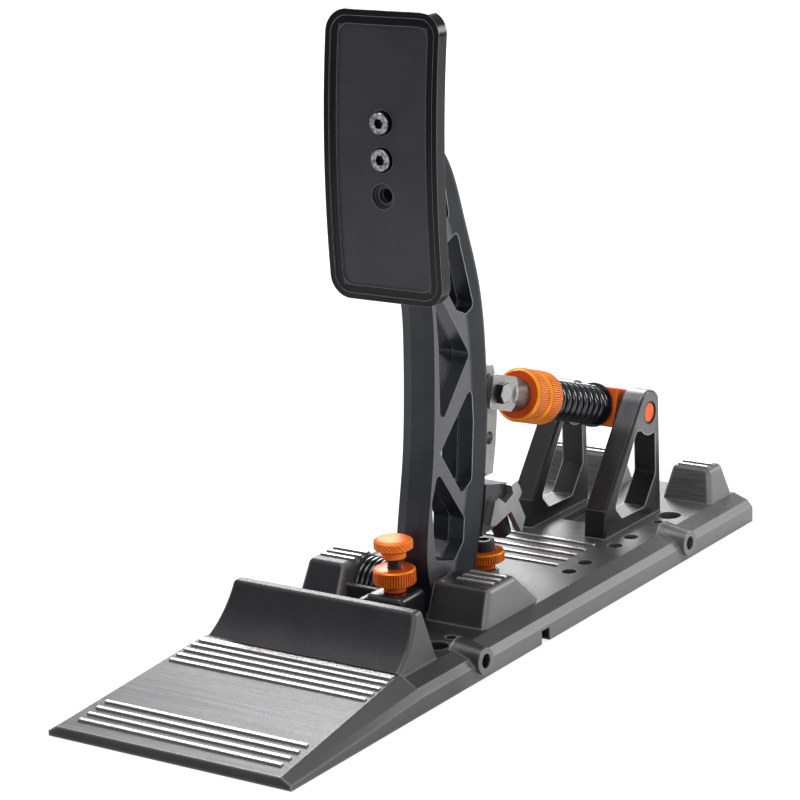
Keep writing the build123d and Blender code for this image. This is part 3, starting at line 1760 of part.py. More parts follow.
def part_nodes():
    _, body_end, first_end, second_start, second_end, block_start, _ = strut_places()
    frame_right_x, frame_left_x = frame_centres()
    sleeve_left = left_shoulder_inner + soft_clearance
    sleeve_right = arm_left - soft_clearance
    right_bush_start = right_shoulder_inner + bush_depth
    left_bush_start = left_shoulder_inner - bush_depth - bush_length
    sleeve_bore = shaft_radius + running_clearance
    washer_left = arm_right + running_clearance
    washer_right = right_shoulder_inner - soft_clearance
    rear_bore = rear_stud_radius + running_clearance
    front_bore = front_stud_radius + running_clearance
    front_ring_bottom = deck_height + seat_height + running_clearance
    magnet_start = shaft_right_end - magnet_length
    return {
        "base_casting": base_casting,
        "frame_right": lambda: side_frame(frame_right_x),
        "frame_left": lambda: side_frame(frame_left_x),
        "frame_screws": lambda: screws_from_below(frame_screw_places()),
        "pivot_bush_right": lambda: pivot_bush(right_bush_start),
        "pivot_bush_left": lambda: pivot_bush(left_bush_start),
        "shaft_plug": left_plug,
        "spring_sleeve": lambda: ring_x(sleeve_radius, sleeve_bore, sleeve_left, sleeve_right),
        "torsion_spring": torsion_spring,
        "thrust_washer": lambda: ring_x(washer_radius, sleeve_bore, washer_left, washer_right),
        "stop_seat": stop_seat,
        "stop_seat_screws": lambda: screws_from_below(seat_screw_places()),
        "adjuster_insert": adjuster_insert,
        "rear_stop_stud": rear_stop_stud,
        "sensor_board": sensor_board,
        "sensor_chip": sensor_chip,
        "sensor_cover": sensor_cover,
        "cable_terminal": cable_terminal,
        "pedal_arm": pedal_arm,
        "pivot_shaft": pivot_shaft,
        "shaft_set_screw": set_screw,
        "sensor_magnet": lambda: cylinder_x(
            magnet_radius, magnet_start, shaft_right_end, pivot_y, pivot_height
        ),
        "pedal_plate": pedal_plate,
        "plate_screws": plate_screw_set,
        "lug_plate": lug_plate,
        "lug_pins": lug_pins,
        "stop_foot": stop_foot,
        "foot_screw": foot_screw,
        "foot_bracket": foot_bracket,
        "foot_pad": foot_pad,
        "clevis": clevis,
        "clevis_bolt": clevis_bolt,
        "clevis_nut": clevis_nut,
        "strut_rod": strut_rod,
        "rod_nut": rod_nut,
        "preload_nut_front": lambda: preload_nut(body_end + seat_clearance, first_end),
        "preload_nut_rear": lambda: preload_nut(second_start, second_end),
        "spring_washer_front": lambda: strut_washer(
            second_end + seat_clearance, rod_radius + running_clearance
        ),
        "spring_washer_rear": lambda: strut_washer(
            block_start - washer_thickness - seat_clearance, rod_radius + rod_slide_clearance
        ),
        "compression_spring": compression_spring,
        "trunnion_block": trunnion_block,
        "block_bush": block_bush,
        "trunnion_pins": trunnion_pins,
        "trunnion_spacers": trunnion_spacers,
        "front_stop_knob": front_stop_knob,
        "front_stop_stud": front_stop_stud,
        "front_stop_ring": lambda: adjuster_ring(
            front_stop_from_front,
            front_ring_bottom,
            front_collar_length,
            front_ring_height,
            front_bore,
        ),
        "rear_stop_ring": lambda: adjuster_ring(
            rear_stop_from_front, rear_stop_bottom(), rear_collar_length, rear_ring_height, rear_bore
        ),
        "rear_bumper": rear_bumper,
    }


for name, build_node in part_nodes().items():
    shape = build_node()
    solids = shape if isinstance(shape, list) else [shape]
    export_step(Compound(children=solids), f"parts/{name}.step")
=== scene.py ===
import json
import math

import bmesh
import bpy
from mathutils import Matrix, Vector


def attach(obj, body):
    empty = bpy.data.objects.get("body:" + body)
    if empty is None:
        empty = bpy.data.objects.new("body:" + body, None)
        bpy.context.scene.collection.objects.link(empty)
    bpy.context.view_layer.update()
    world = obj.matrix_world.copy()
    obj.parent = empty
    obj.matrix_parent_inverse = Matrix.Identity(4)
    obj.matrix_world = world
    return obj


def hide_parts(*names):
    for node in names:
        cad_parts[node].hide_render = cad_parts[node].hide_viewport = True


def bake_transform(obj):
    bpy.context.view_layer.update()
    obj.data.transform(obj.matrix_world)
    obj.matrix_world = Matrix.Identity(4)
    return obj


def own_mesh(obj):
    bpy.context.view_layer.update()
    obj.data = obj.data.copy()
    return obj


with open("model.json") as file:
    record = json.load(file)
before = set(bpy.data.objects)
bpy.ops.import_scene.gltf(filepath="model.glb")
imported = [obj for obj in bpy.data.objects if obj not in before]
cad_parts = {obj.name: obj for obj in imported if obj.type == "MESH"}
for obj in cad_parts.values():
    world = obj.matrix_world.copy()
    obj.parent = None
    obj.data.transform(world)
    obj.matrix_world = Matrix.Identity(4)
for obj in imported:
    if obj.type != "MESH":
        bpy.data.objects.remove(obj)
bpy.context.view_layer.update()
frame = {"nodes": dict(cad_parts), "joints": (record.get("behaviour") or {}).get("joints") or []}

# This script counts in millimetres, Blender in metres
MM = 0.001
CENTRE = Vector((0, 0, 0))
X_AXIS = Vector((1, 0, 0))
Y_AXIS = Vector((0, 1, 0))
Z_AXIS = Vector((0, 0, 1))


# Places and sizes that the frame gives
def joint_place(name):
    joint = next(joint for joint in frame["joints"] if joint["name"] == name)
    return Vector([round(value / MM, 3) for value in joint["pos_m"]])


def below_joint(name):
    """The point on the floor below a joint."""
    place = joint_place(name)
    return Vector((place.x, place.y, 0))


def cad_points(name, origin):
    return [vertex.co / MM - origin for vertex in frame["nodes"][name].data.vertices]


def reach(name, axis, origin=CENTRE):
    """The low and the high end of a CAD piece along an axis."""
    along = [point.dot(axis) for point in cad_points(name, origin)]
    return round(min(along), 2), round(max(along), 2)


def girth(name, axis, origin):
    """The smallest and the largest distance of a CAD piece's points from an axis."""
    out = [(point - axis * point.dot(axis)).length for point in cad_points(name, origin)]
    return round(min(out), 2), round(max(out), 2)


pivot = joint_place("pedal_swing")
clevis_pin = joint_place("clevis_pivot")
trunnion = joint_place("trunnion_turn")
front_stop = below_joint("front_knob_turn")
rear_stop = below_joint("rear_ring_turn")
strut = (trunnion - clevis_pin).normalized()
strut_length = (trunnion - clevis_pin).length
mechanism_x = pivot.x
front_edge = reach("base_casting", Y_AXIS)[0]
arm_left, arm_right = reach("pedal_arm", X_AXIS)


# Helpers for meshes
def link(thing):
    bpy.context.scene.collection.objects.link(thing)


def add_object(name, mesh, body, replaced, material):
    piece = bpy.data.objects.new(name, mesh)
    link(piece)
    mesh.materials.append(material)
    if body:
        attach(piece, body)
    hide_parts(replaced)
    return piece


def mesh_from(name, points, faces, smooth_angle=35):
    mesh = bpy.data.meshes.new(name)
    mesh.from_pydata([tuple(p * MM) for p in points], [], faces)
    mesh.validate()
    work = bmesh.new()
    work.from_mesh(mesh)
    bmesh.ops.recalc_face_normals(work, faces=work.faces)
    limit = math.radians(smooth_angle)
    for face in work.faces:
        face.smooth = True
    for edge in work.edges:
        edge.smooth = len(edge.link_faces) == 2 and edge.calc_face_angle() < limit
    work.to_mesh(mesh)
    work.free()
    return mesh


def join_rows(low, high, count):
    """Faces between two closed rows of points that start at the indices low and high."""
    faces = []
    for column in range(count):
        right = (column + 1) % count
        faces.append((low + column, low + right, high + right, high + column))
    return faces


def end_caps(rows, count):
    last = (rows - 1) * count
    return [tuple(range(count)), tuple(range(last, last + count))]


def around_circle(count):
    return [2 * math.pi * step / count for step in range(count)]


def turned(name, place, angles, rows, relief_share, ring=True):
    """A turned piece from rows of (height, radius, relief).

    relief_share says how much of a row's relief is cut at a column, and ring joins the last row to the
    first, which leaves a bore.
    """
    points = []
    count = len(angles)
    for height, radius, relief in rows:
        for column, angle in enumerate(angles):
            distance = radius - relief * relief_share(column, height)
            points.append(place @ Vector((distance * math.cos(angle), distance * math.sin(angle), height)))
    faces = []
    for row in range(len(rows) if ring else len(rows) - 1):
        faces += join_rows(row * count, (row + 1) % len(rows) * count, count)
    if not ring:
        faces += end_caps(len(rows), count)
    return mesh_from(name, points, faces)


def tube(name, path, radius, sides=16, smooth_angle=60):
    points = []
    tangents = []
    for index in range(len(path)):
        before = path[max(index - 1, 0)]
        after = path[min(index + 1, len(path) - 1)]
        tangents.append((after - before).normalized())
    normal = tangents[0].orthogonal().normalized()
    for tangent, centre in zip(tangents, path):
        normal = (normal - tangent * normal.dot(tangent)).normalized()
        other = tangent.cross(normal)
        for angle in around_circle(sides):
            points.append(centre + (normal * math.cos(angle) + other * math.sin(angle)) * radius)
    faces = []
    for index in range(len(path) - 1):
        faces += join_rows(index * sides, (index + 1) * sides, sides)
    return mesh_from(name, points, faces + end_caps(len(path), sides), smooth_angle)


# Helpers for materials
ALONG_X = (0.06, 1.0, 1.0)
ALONG_Y = (1.0, 0.08, 1.0)
ALONG_YZ = (1.0, 0.1, 0.1)


class Finish:
    """A Principled material whose colour, roughness and relief come from nodes."""

    def __init__(self, name):
        self.material = bpy.data.materials.new(name)
        self.material.use_nodes = True
        self.tree = self.material.node_tree
        self.shader = self.tree.nodes["Principled BSDF"]
        self.place = self.add("ShaderNodeTexCoord").outputs["Object"]

    def add(self, kind, **settings):
        made = self.tree.nodes.new(kind)
        for key, value in settings.items():
            setattr(made, key, value)
        return made

    def feed(self, socket, value):
        if isinstance(value, bpy.types.NodeSocket):
            self.tree.links.new(value, socket)
        else:
            socket.default_value = value

    def set(self, **values):
        names = {
            "colour": "Base Color",
            "roughness": "Roughness",
            "metallic": "Metallic",
            "normal": "Normal",
            "specular": "Specular IOR Level",
            "coat": "Coat Weight",
            "coat_roughness": "Coat Roughness",
        }
        for key, value in values.items():
            if isinstance(value, tuple):
                value = (*value, 1.0)
            self.feed(self.shader.inputs[names[key]], value)
        return self.material

    # Numbers and masks
    def math(self, operation, first, second=0.0, third=0.0, clamp=False):
        made = self.add("ShaderNodeMath", operation=operation, use_clamp=clamp)
        for socket, value in zip(made.inputs, (first, second, third)):
            self.feed(socket, value)
        return made.outputs[0]

    def times(self, first, *others):
        for other in others:
            first = self.math("MULTIPLY", first, other)
        return first

    def ramp(self, value, low, high, to_low=0.0, to_high=1.0, smooth=True):
        made = self.add("ShaderNodeMapRange")
        made.interpolation_type = "SMOOTHSTEP" if smooth else "LINEAR"
        for socket, number in zip(made.inputs, (value, low, high, to_low, to_high)):
            self.feed(socket, number)
        return made.outputs[0]

    def fade(self, value, low, high, to_low=0.0, to_high=1.0, smooth=True):
        """A ramp between two places in millimetres."""
        return self.ramp(value, low * MM, high * MM, to_low, to_high, smooth)

    def shift(self, mask, to_low, to_high):
        """A value that goes evenly from one number to another as a mask goes from 0 to 1."""
        return self.ramp(mask, 0.0, 1.0, to_low, to_high, smooth=False)

    def before(self, value, limit):
        return self.math("LESS_THAN", value, limit * MM)

    def after(self, value, limit):
        return self.math("GREATER_THAN", value, limit * MM)

    def away(self, value, centre=0.0):
        """How far a coordinate is from a centre, whichever the side."""
        return self.math("ABSOLUTE", self.math("SUBTRACT", value, centre * MM))

    def band(self, value, low, high, soft=0.05):
        rising = self.fade(value, low - soft, low + soft)
        return self.times(rising, self.fade(value, high - soft, high + soft, 1.0, 0.0))

    # Places and directions
    def axes(self):
        made = self.add("ShaderNodeSeparateXYZ")
        self.feed(made.inputs[0], self.place)
        return made.outputs

    def facing(self):
        made = self.add("ShaderNodeSeparateXYZ")
        self.feed(made.inputs[0], self.add("ShaderNodeNewGeometry").outputs["Normal"])
        return made.outputs

    def around(self, origin, axis):
        """How far a point lies along an axis and out from it, in metres."""
        offset = self.add("ShaderNodeVectorMath", operation="SUBTRACT")
        self.feed(offset.inputs[0], self.place)
        offset.inputs[1].default_value = tuple(origin * MM)
        along = self.add("ShaderNodeVectorMath", operation="DOT_PRODUCT")
        self.feed(along.inputs[0], offset.outputs[0])
        along.inputs[1].default_value = tuple(axis)
        length = self.add("ShaderNodeVectorMath", operation="LENGTH")
        self.feed(length.inputs[0], offset.outputs[0])
        whole = self.math("POWER", length.outputs["Value"], 2.0)
        part = self.math("POWER", along.outputs["Value"], 2.0)
        out = self.math("SQRT", self.math("MAXIMUM", self.math("SUBTRACT", whole, part), 0.0))
        return along.outputs["Value"], out

    # Textures and colours
    def noise(self, scale, detail=3.0, roughness=0.6, stretch=None):
        made = self.add("ShaderNodeTexNoise")
        vector = self.place
        if stretch:
            mapping = self.add("ShaderNodeMapping")
            self.feed(mapping.inputs["Vector"], vector)
            mapping.inputs["Scale"].default_value = stretch
            vector = mapping.outputs[0]
        self.feed(made.inputs["Vector"], vector)
        made.inputs["Scale"].default_value = scale
        made.inputs["Detail"].default_value = detail
        made.inputs["Roughness"].default_value = roughness
        return made.outputs["Fac"]

    def mottle(self, scale, detail=5.0):
        """Soft patches, from 0 to 1."""
        return self.ramp(self.noise(scale, detail, roughness=0.55), 0.3, 0.7)

    def grain(self, scale, stretch=None, high=0.7):
        """Fine grain from 0 to 1, or streaks where it is stretched."""
        return self.ramp(self.noise(scale, stretch=stretch), 0.3, high)

    def satin(self, fine, low, high):
        """A roughness that wanders between two values with a fine noise."""
        return self.ramp(fine, 0.25, 0.75, low, high, smooth=False)

    def mix(self, factor, first, second):
        made = self.add("ShaderNodeMix", data_type="RGBA")
        sockets = [s for s in made.inputs if s.enabled]
        for socket, value in zip(sockets, (factor, first, second)):
            if isinstance(value, tuple):
                value = (*value, 1.0) if len(value) == 3 else value
            self.feed(socket, value)
        return [s for s in made.outputs if s.enabled][0]

    def lay(self, mask, base, over, strength=1.0):
        """A colour laid over another where a mask says."""
        return self.mix(self.times(mask, strength), base, over)

    def edges(self, radius, low=0.02, high=0.3, samples=6):
        """A mask of the edges, as wide as a bevel of the radius."""
        bevel = self.add("ShaderNodeBevel", samples=samples)
        bevel.inputs["Radius"].default_value = radius * MM
        geometry = self.add("ShaderNodeNewGeometry")
        dot = self.add("ShaderNodeVectorMath", operation="DOT_PRODUCT")
        self.feed(dot.inputs[0], bevel.outputs[0])
        self.feed(dot.inputs[1], geometry.outputs["Normal"])
        return self.ramp(self.math("SUBTRACT", 1.0, dot.outputs["Value"]), low, high)

    def bump(self, height, strength, distance):
        made = self.add("ShaderNodeBump")
        made.inputs["Strength"].default_value = strength
        made.inputs["Distance"].default_value = distance * MM
        self.feed(made.inputs["Height"], height)
        return made.outputs[0]


def metal(name, dark, light, rough, spread, metallic, grain, relief, edge=None, edge_radius=0.8, coat=0.0,
          patches=60.0, stretch=None):
    """A plain metal or painted finish with mottled colour, fine grain and, where given, painted highlights
    on the edges.
    """
    made = Finish(name)
    colour = made.mix(made.mottle(patches), dark, light)
    if edge:
        colour = made.mix(made.edges(edge_radius), colour, edge)
    fine = made.noise(grain, stretch=stretch)
    roughness = made.satin(fine, rough - spread, rough + spread)
    made.set(colour=colour, roughness=roughness, metallic=metallic, normal=made.bump(fine, 1.0, relief))
    if coat:
        made.set(coat=coat, coat_roughness=0.15)
    return made.material


# The base: lengths from its front edge, heights from the floor or the ramp, widths from its middle
ramp_length, ramp_start_height, ramp_end_height = 90.7, 4.9, 15.2
ramp_ribs_end = 88.6
ramp_rib_height = 0.7
heel_end = 150.0
high_rib_top = 29.2
deck_ribs_start, deck_ribs_end, deck_ribs_half_width = 240.0, 276.0, 33.0
deck_rib_top, deck_bumps_start = 13.7, 14.2
top_blend = 0.25
ramp_face_fade = (-0.6, -0.2)
# Fades for painted light: upright sides behind the heel and in the open are painted lighter, and the deck is
# painted lighter toward the rear
side_light_fade = (112.0, 140.0)
shoulder_fade = (205.0, 225.0)
deck_painted_light_fade = (225.0, 335.0)
deck_height_fade = (12.6, 13.2)
outer_side_fade = (46.0, 48.0)


def rib_tops(made, x, z, from_front, ramp_rise, on_ramp):
    """The machined rib tops: on the ramp they stand above its slope, the others above a level."""
    ramp_tops = made.times(made.fade(ramp_rise, ramp_rib_height - top_blend, ramp_rib_height), on_ramp)
    behind_heel = made.after(from_front, heel_end)
    high_tops = made.times(made.fade(z, high_rib_top - top_blend, high_rib_top), behind_heel)
    deck_tops = made.times(
        made.after(from_front, deck_ribs_start),
        made.before(from_front, deck_ribs_end),
        made.fade(z, deck_rib_top - top_blend, deck_rib_top),
        made.before(made.away(x), deck_ribs_half_width),
        made.before(z, deck_bumps_start),
    )
    return made.math("ADD", made.math("ADD", ramp_tops, high_tops), deck_tops, clamp=True)


def base_paint_and_painted_light(made, x, z, from_front, ramp_rise, on_ramp):
    """Dark paint with painted highlights on the edges; the deck is brushed and lighter, with painted light
    growing toward the rear, the ramp is brushed with a painted sheen, and upright sides behind the heel are
    painted lighter as if lit from the side.
    """
    paint = made.mix(made.mottle(45.0), (0.012, 0.012, 0.013), (0.020, 0.020, 0.021))

    deck_streaks = made.grain(700.0, ALONG_X, high=0.75)
    deck_paint = made.mix(deck_streaks, (0.07, 0.069, 0.069), (0.13, 0.128, 0.128))
    # The deck's brushed streaks are its own; its lightening toward the rear is painted light
    rearward_painted_light = made.fade(from_front, *deck_painted_light_fade, 0.3, 1.0, smooth=False)
    paint = made.lay(made.times(made.fade(from_front, *shoulder_fade), rearward_painted_light), paint, deck_paint)

    # Painted light: upright sides in the open behind the heel are painted lighter, as if lit by a lamp at
    # the side
    upright = made.ramp(made.math("ABSOLUTE", made.facing()[0]), 0.2, 0.65)
    in_the_open = made.math(
        "MAXIMUM", made.fade(z, *deck_height_fade), made.fade(made.away(x), *outer_side_fade)
    )
    behind_heel = made.fade(from_front, *side_light_fade, 0.35, 0.9)
    paint = made.lay(made.times(upright, in_the_open, behind_heel), paint, (0.2, 0.196, 0.194))

    # The ramp: its brushed streaks are its own, its lighter tone a painted sheen where it faces up toward
    # the light
    ramp_streaks = made.grain(500.0, (0.05, 1.0, 1.0), high=0.75)
    ramp_paint_and_sheen = made.mix(ramp_streaks, (0.035, 0.035, 0.036), (0.075, 0.075, 0.076))
    paint = made.lay(made.times(made.fade(ramp_rise, *ramp_face_fade), on_ramp), paint, ramp_paint_and_sheen)

    specks = made.ramp(made.noise(1500.0, 2.0, 0.7), 0.62, 0.8)
    paint = made.lay(specks, paint, (0.09, 0.09, 0.092), strength=0.3)
    # Painted highlights on the edges, a wide soft one and a narrow bright one
    paint = made.lay(made.edges(2.2, 0.006, 0.1), paint, (0.2, 0.198, 0.196), strength=0.55)
    return made.lay(made.edges(0.9), paint, (0.4, 0.4, 0.405), strength=0.6)


def cast_metal():
    """The cast base: grained satin paint and bright machined rib tops."""
    made = Finish("cast_metal")
    x, y, z = made.axes()
    from_front = made.math("SUBTRACT", y, front_edge * MM)
    slope = (ramp_end_height - ramp_start_height) / ramp_length
    ramp_floor = made.math("MULTIPLY_ADD", from_front, slope, ramp_start_height * MM)
    ramp_rise = made.math("SUBTRACT", z, ramp_floor)
    on_ramp = made.before(from_front, ramp_ribs_end)
    tops = rib_tops(made, x, z, from_front, ramp_rise, on_ramp)
    paint = base_paint_and_painted_light(made, x, z, from_front, ramp_rise, on_ramp)
    fine = made.noise(1100.0, roughness=0.65)
    return made.set(
        colour=made.mix(tops, paint, (0.52, 0.51, 0.5)),
        roughness=made.times(made.satin(fine, 0.34, 0.48), made.shift(tops, 1.0, 0.7)),
        metallic=made.shift(tops, 0.2, 0.9),
        normal=made.bump(fine, 0.8, 0.09),
        specular=0.5,
    )


# The arm's side is painted lighter, a painted sheen, ahead of a bowed line, whose shape is in shares of two
# lengths
arm_height, bow_length = 223.5, 60.0
bow_reach_share, bow_middle_share, bow_soft_share = 0.41, 0.42, 0.03
bow_bend = 2.2
arm_half_thickness = (arm_right - arm_left) / 2
side_face_start, side_face_end = 0.05, 0.15


def arm_metal():
    """The arm: dark blue-black semi-gloss paint, with a painted sheen that lightens the side face on the
    front flange and the struts, and painted highlights on the edges.
    """
    made = Finish("arm_paint")
    x, y, z = made.axes()
    behind = made.math("DIVIDE", made.math("SUBTRACT", y, pivot.y * MM), bow_length * MM)
    above = made.math("DIVIDE", made.math("SUBTRACT", z, pivot.z * MM), arm_height * MM)
    bow = made.math("POWER", made.math("SUBTRACT", above, bow_middle_share), 2.0)
    limit = made.math("SUBTRACT", bow_reach_share, made.times(bow, bow_bend))
    ahead = made.ramp(made.math("SUBTRACT", limit, behind), -bow_soft_share, bow_soft_share)
    side = made.fade(
        made.away(x, mechanism_x), arm_half_thickness - side_face_end, arm_half_thickness - side_face_start
    )

    paint = made.mix(made.mottle(60.0), (0.010, 0.011, 0.016), (0.018, 0.020, 0.028))
    light = made.mix(made.grain(900.0), (0.075, 0.075, 0.079), (0.11, 0.11, 0.114))
    # Painted sheen: the side face ahead of the bowed line is painted lighter
    paint = made.lay(made.times(side, ahead), paint, light, strength=0.85)
    # Painted highlights on the edges: bright rim light behind the bowed line, dimmer ahead of it
    painted_edge_highlight = made.mix(ahead, (0.8, 0.81, 0.85), (0.24, 0.25, 0.29))
    fine = made.noise(1600.0)
    return made.set(
        colour=made.lay(made.edges(0.8), paint, painted_edge_highlight, strength=0.9),
        roughness=made.satin(fine, 0.26, 0.36),
        metallic=0.1,
        normal=made.bump(fine, 1.0, 0.02),
        specular=made.shift(ahead, 0.12, 0.45),
        coat=0.08,
        coat_roughness=0.15,
    )


# The clevis changes from fork to turned body between these places along the strut
fork_fade = (13.9, 14.2)

# A screw's ground face ends this far behind its front, with painted shade behind it, and a bolt's bright top
# ends this far below its top
screw_face_start, screw_face_end = 0.1, 0.3
bolt_face_start, bolt_face_end = 0.15, 0.3


def fork_metal():
    """The clevis: light brushed fork, darker turned body, painted highlights on the edges."""
    made = Finish("fork_metal")
    along = made.around(clevis_pin, strut)[0]
    streaks = made.grain(700.0, ALONG_Y)
    light = made.mix(streaks, (0.3, 0.29, 0.285), (0.4, 0.39, 0.385))
    dark = made.mix(streaks, (0.13, 0.125, 0.12), (0.2, 0.195, 0.19))
    colour = made.mix(made.fade(along, *fork_fade), light, dark)
    # Painted highlights on the edges
    return made.set(
        colour=made.mix(made.edges(0.3), colour, (0.7, 0.69, 0.68)),
        roughness=made.shift(streaks, 0.32, 0.46),
        metallic=0.85,
        normal=made.bump(streaks, 0.6, 0.01),
    )


def bolt_metal():
    """The clevis bolt: a bright top on a head that is black below it."""
    made = Finish("bolt_metal")
    x = made.axes()[0]
    head_top = reach("clevis_bolt", X_AXIS)[1]
    grain = made.grain(1200.0)
    top = made.mix(grain, (0.3, 0.3, 0.31), (0.46, 0.46, 0.47))
    sides = made.mix(grain, (0.01, 0.01, 0.011), (0.025, 0.025, 0.026))
    return made.set(
        colour=made.mix(made.fade(x, head_top - bolt_face_end, head_top - bolt_face_start), sides, top),
        roughness=made.shift(grain, 0.26, 0.4),
        metallic=0.8,
        normal=made.bump(grain, 0.5, 0.01),
    )


# The side frames, with distances from the trunnion's axis
crown_light_fade = (14.0, 20.0)
boss_light_fade = (8.0, 24.0)
pin_gap_shade_fade = (5.5, 5.7)


def frame_metal():
    """The side frames: black satin, painted light on the up-facing crowns and on the side faces near the
    pin, painted highlights on the edges, and painted shade in a ring around the pin.
    """
    made = Finish("frame_paint")
    normal_x, _, normal_z = made.facing()
    out = made.around(trunnion, X_AXIS)[1]
    paint = made.mix(made.mottle(60.0), (0.008, 0.008, 0.009), (0.014, 0.014, 0.015))
    light = made.mix(made.grain(800.0, ALONG_YZ), (0.16, 0.16, 0.163), (0.24, 0.24, 0.243))
    # Painted light: up-facing crowns near the trunnion are painted lighter
    crown_light = made.times(made.ramp(normal_z, 0.35, 0.95), made.fade(out, *crown_light_fade, 1.0, 0.0))
    paint = made.lay(crown_light, paint, light, strength=0.8)
    # Painted light: upright side faces near the pin are painted lighter, fading away from it
    upright = made.ramp(made.math("ABSOLUTE", normal_x), 0.9, 0.98)
    boss_light = made.times(upright, made.fade(out, *boss_light_fade, 1.0, 0.0))
    paint = made.lay(boss_light, paint, light, strength=0.6)
    # Painted highlights on the edges
    paint = made.lay(made.edges(1.1, 0.01, 0.16), paint, (0.55, 0.55, 0.555), strength=0.95)
    fine = made.noise(1400.0)
    # Painted shade: a black ring around the pin where the gap would be
    return made.set(
        colour=made.mix(made.fade(out, *pin_gap_shade_fade, 1.0, 0.0), paint, (0.004, 0.004, 0.004)),
        roughness=made.satin(fine, 0.3, 0.42),
        metallic=0.2,
        normal=made.bump(fine, 1.0, 0.03),
    )


def screw_head_metal():
    """The plate's screws: a speckled ground face, with painted shade in the socket and behind the face."""
    made = Finish("screw_head")
    y = made.axes()[1]
    head_front = reach("plate_screws", Y_AXIS)[0]
    specks = made.ramp(made.noise(900.0, detail=4.0), 0.35, 0.65)
    face = made.mix(specks, (0.13, 0.13, 0.135), (0.5, 0.5, 0.51))
    grain = made.grain(1800.0)
    # Painted shade: black behind the face, in the socket and the gap around the head
    painted_shade_behind_face = made.fade(y, head_front + screw_face_start, head_front + screw_face_end)
    return made.set(
        colour=made.mix(painted_shade_behind_face, face, (0.006, 0.006, 0.006)),
        roughness=made.shift(grain, 0.26, 0.42),
        metallic=0.7,
        normal=made.bump(grain, 0.5, 0.01),
    )


plate_rim_width, plate_rim_soft = 6.0, 0.2


def plate_metal():
    """The plate: satin black panel, glossier and darker rim, painted highlights where the rim steps."""
    made = Finish("plate_paint")
    x, _, z = made.axes()
    left, right = reach("pedal_plate", X_AXIS)
    bottom, top = reach("pedal_plate", Z_AXIS)
    panel_half_width = (right - left) / 2 - plate_rim_width
    panel_half_height = (top - bottom) / 2 - plate_rim_width
    across = made.math("SUBTRACT", made.away(x, (left + right) / 2), panel_half_width * MM)
    upward = made.math("SUBTRACT", made.away(z, (bottom + top) / 2), panel_half_height * MM)
    rim = made.fade(made.math("MAXIMUM", across, upward), -plate_rim_soft, plate_rim_soft)
    panel = made.mix(made.mottle(40.0), (0.014, 0.0138, 0.0155), (0.021, 0.0208, 0.0235))
    colour = made.mix(rim, panel, (0.0025, 0.0025, 0.003))
    fine = made.noise(1500.0)
    # Painted highlights on the edges
    return made.set(
        colour=made.lay(made.edges(0.6), colour, (0.28, 0.28, 0.285), strength=0.85),
        roughness=made.times(made.satin(fine, 0.34, 0.44), made.shift(rim, 1.0, 0.55)),
        metallic=0.0,
        normal=made.bump(fine, 1.0, 0.02),
        specular=made.shift(rim, 0.5, 0.25),
    )


# Orange rings, whose meshes and finishes share these sizes
preload_chamfer, preload_groove = 1.3, 0.26
stop_chamfer, stop_groove = 0.7, 0.42
front_collar, rear_collar = 3.4, 3.5
knurl_lip = 0.05
knurl_inner_depth, knurl_outer_depth = 1.2, 1.0
bevel_spread, bevel_soft = 0.25, 0.2


def ring_metal(name, origin, axis, outer, groove, chamfer, bands, knurled, grooved, bevelled, faced):
    """An orange ring: knurled bands with painted shade in the grooves and patches of painted highlight on
    the crests, painted highlights on the bevels, deeper flat faces.
    """
    made = Finish(name)
    along, out = made.around(origin, axis)
    knurl = 0.0
    for low, high in bands:
        knurl = made.math("ADD", knurl, made.band(along, low + chamfer, high - chamfer), clamp=True)
    on_knurl = made.times(knurl, made.fade(out, outer - knurl_inner_depth, outer - knurl_outer_depth))
    # Painted shade in the knurl grooves and painted highlights on the bevels
    in_groove = made.fade(out, outer - groove * 0.9, outer - groove * 0.2, 1.0, 0.0)
    crest = made.lay(made.mottle(300.0, detail=4.0), knurled, bevelled, strength=0.4)
    bevel_start = outer - chamfer - bevel_spread
    on_bevel = made.fade(out, bevel_start, bevel_start + bevel_soft)
    plain = made.mix(on_bevel, faced, bevelled)
    fine = made.noise(2600.0, detail=2.0)
    return made.set(
        colour=made.mix(on_knurl, plain, made.mix(in_groove, crest, grooved)),
        roughness=made.satin(fine, 0.32, 0.42),
        metallic=0.3,
        normal=made.bump(fine, 0.5, 0.02),
        specular=0.4,
    )


def anodised(name, dark, light, rough, spread=0.05):
    made = Finish(name)
    colour = made.mix(made.mottle(180.0, detail=4.0), dark, light)
    fine = made.noise(2600.0, detail=2.0)
    # Painted highlights on the edges, in a lighter orange
    return made.set(
        colour=made.lay(made.edges(0.5), colour, (1.0, 0.42, 0.05), strength=0.8),
        roughness=made.satin(fine, rough - spread, rough + spread),
        metallic=0.35,
        normal=made.bump(fine, 0.5, 0.02),
        specular=0.5,
    )


def preload_finish():
    nuts = ("preload_nut_front", "preload_nut_rear")
    return ring_metal(
        "preload_orange", clevis_pin, strut, girth(nuts[0], strut, clevis_pin)[1],
        preload_groove, preload_chamfer, [reach(nut, strut, clevis_pin) for nut in nuts],
        knurled=(0.92, 0.2, 0.03), grooved=(0.3, 0.045, 0.008),
        bevelled=(1.0, 0.36, 0.012), faced=(0.62, 0.065, 0.006),
    )


def stop_finish(name, node, foot, collar, **colours):
    bottom, top = reach(node, Z_AXIS)
    outer = girth(node, Z_AXIS, foot)[1]
    bands = [(bottom + collar, top)]
    return ring_metal(name, foot, Z_AXIS, outer, stop_groove, stop_chamfer, bands, **colours)


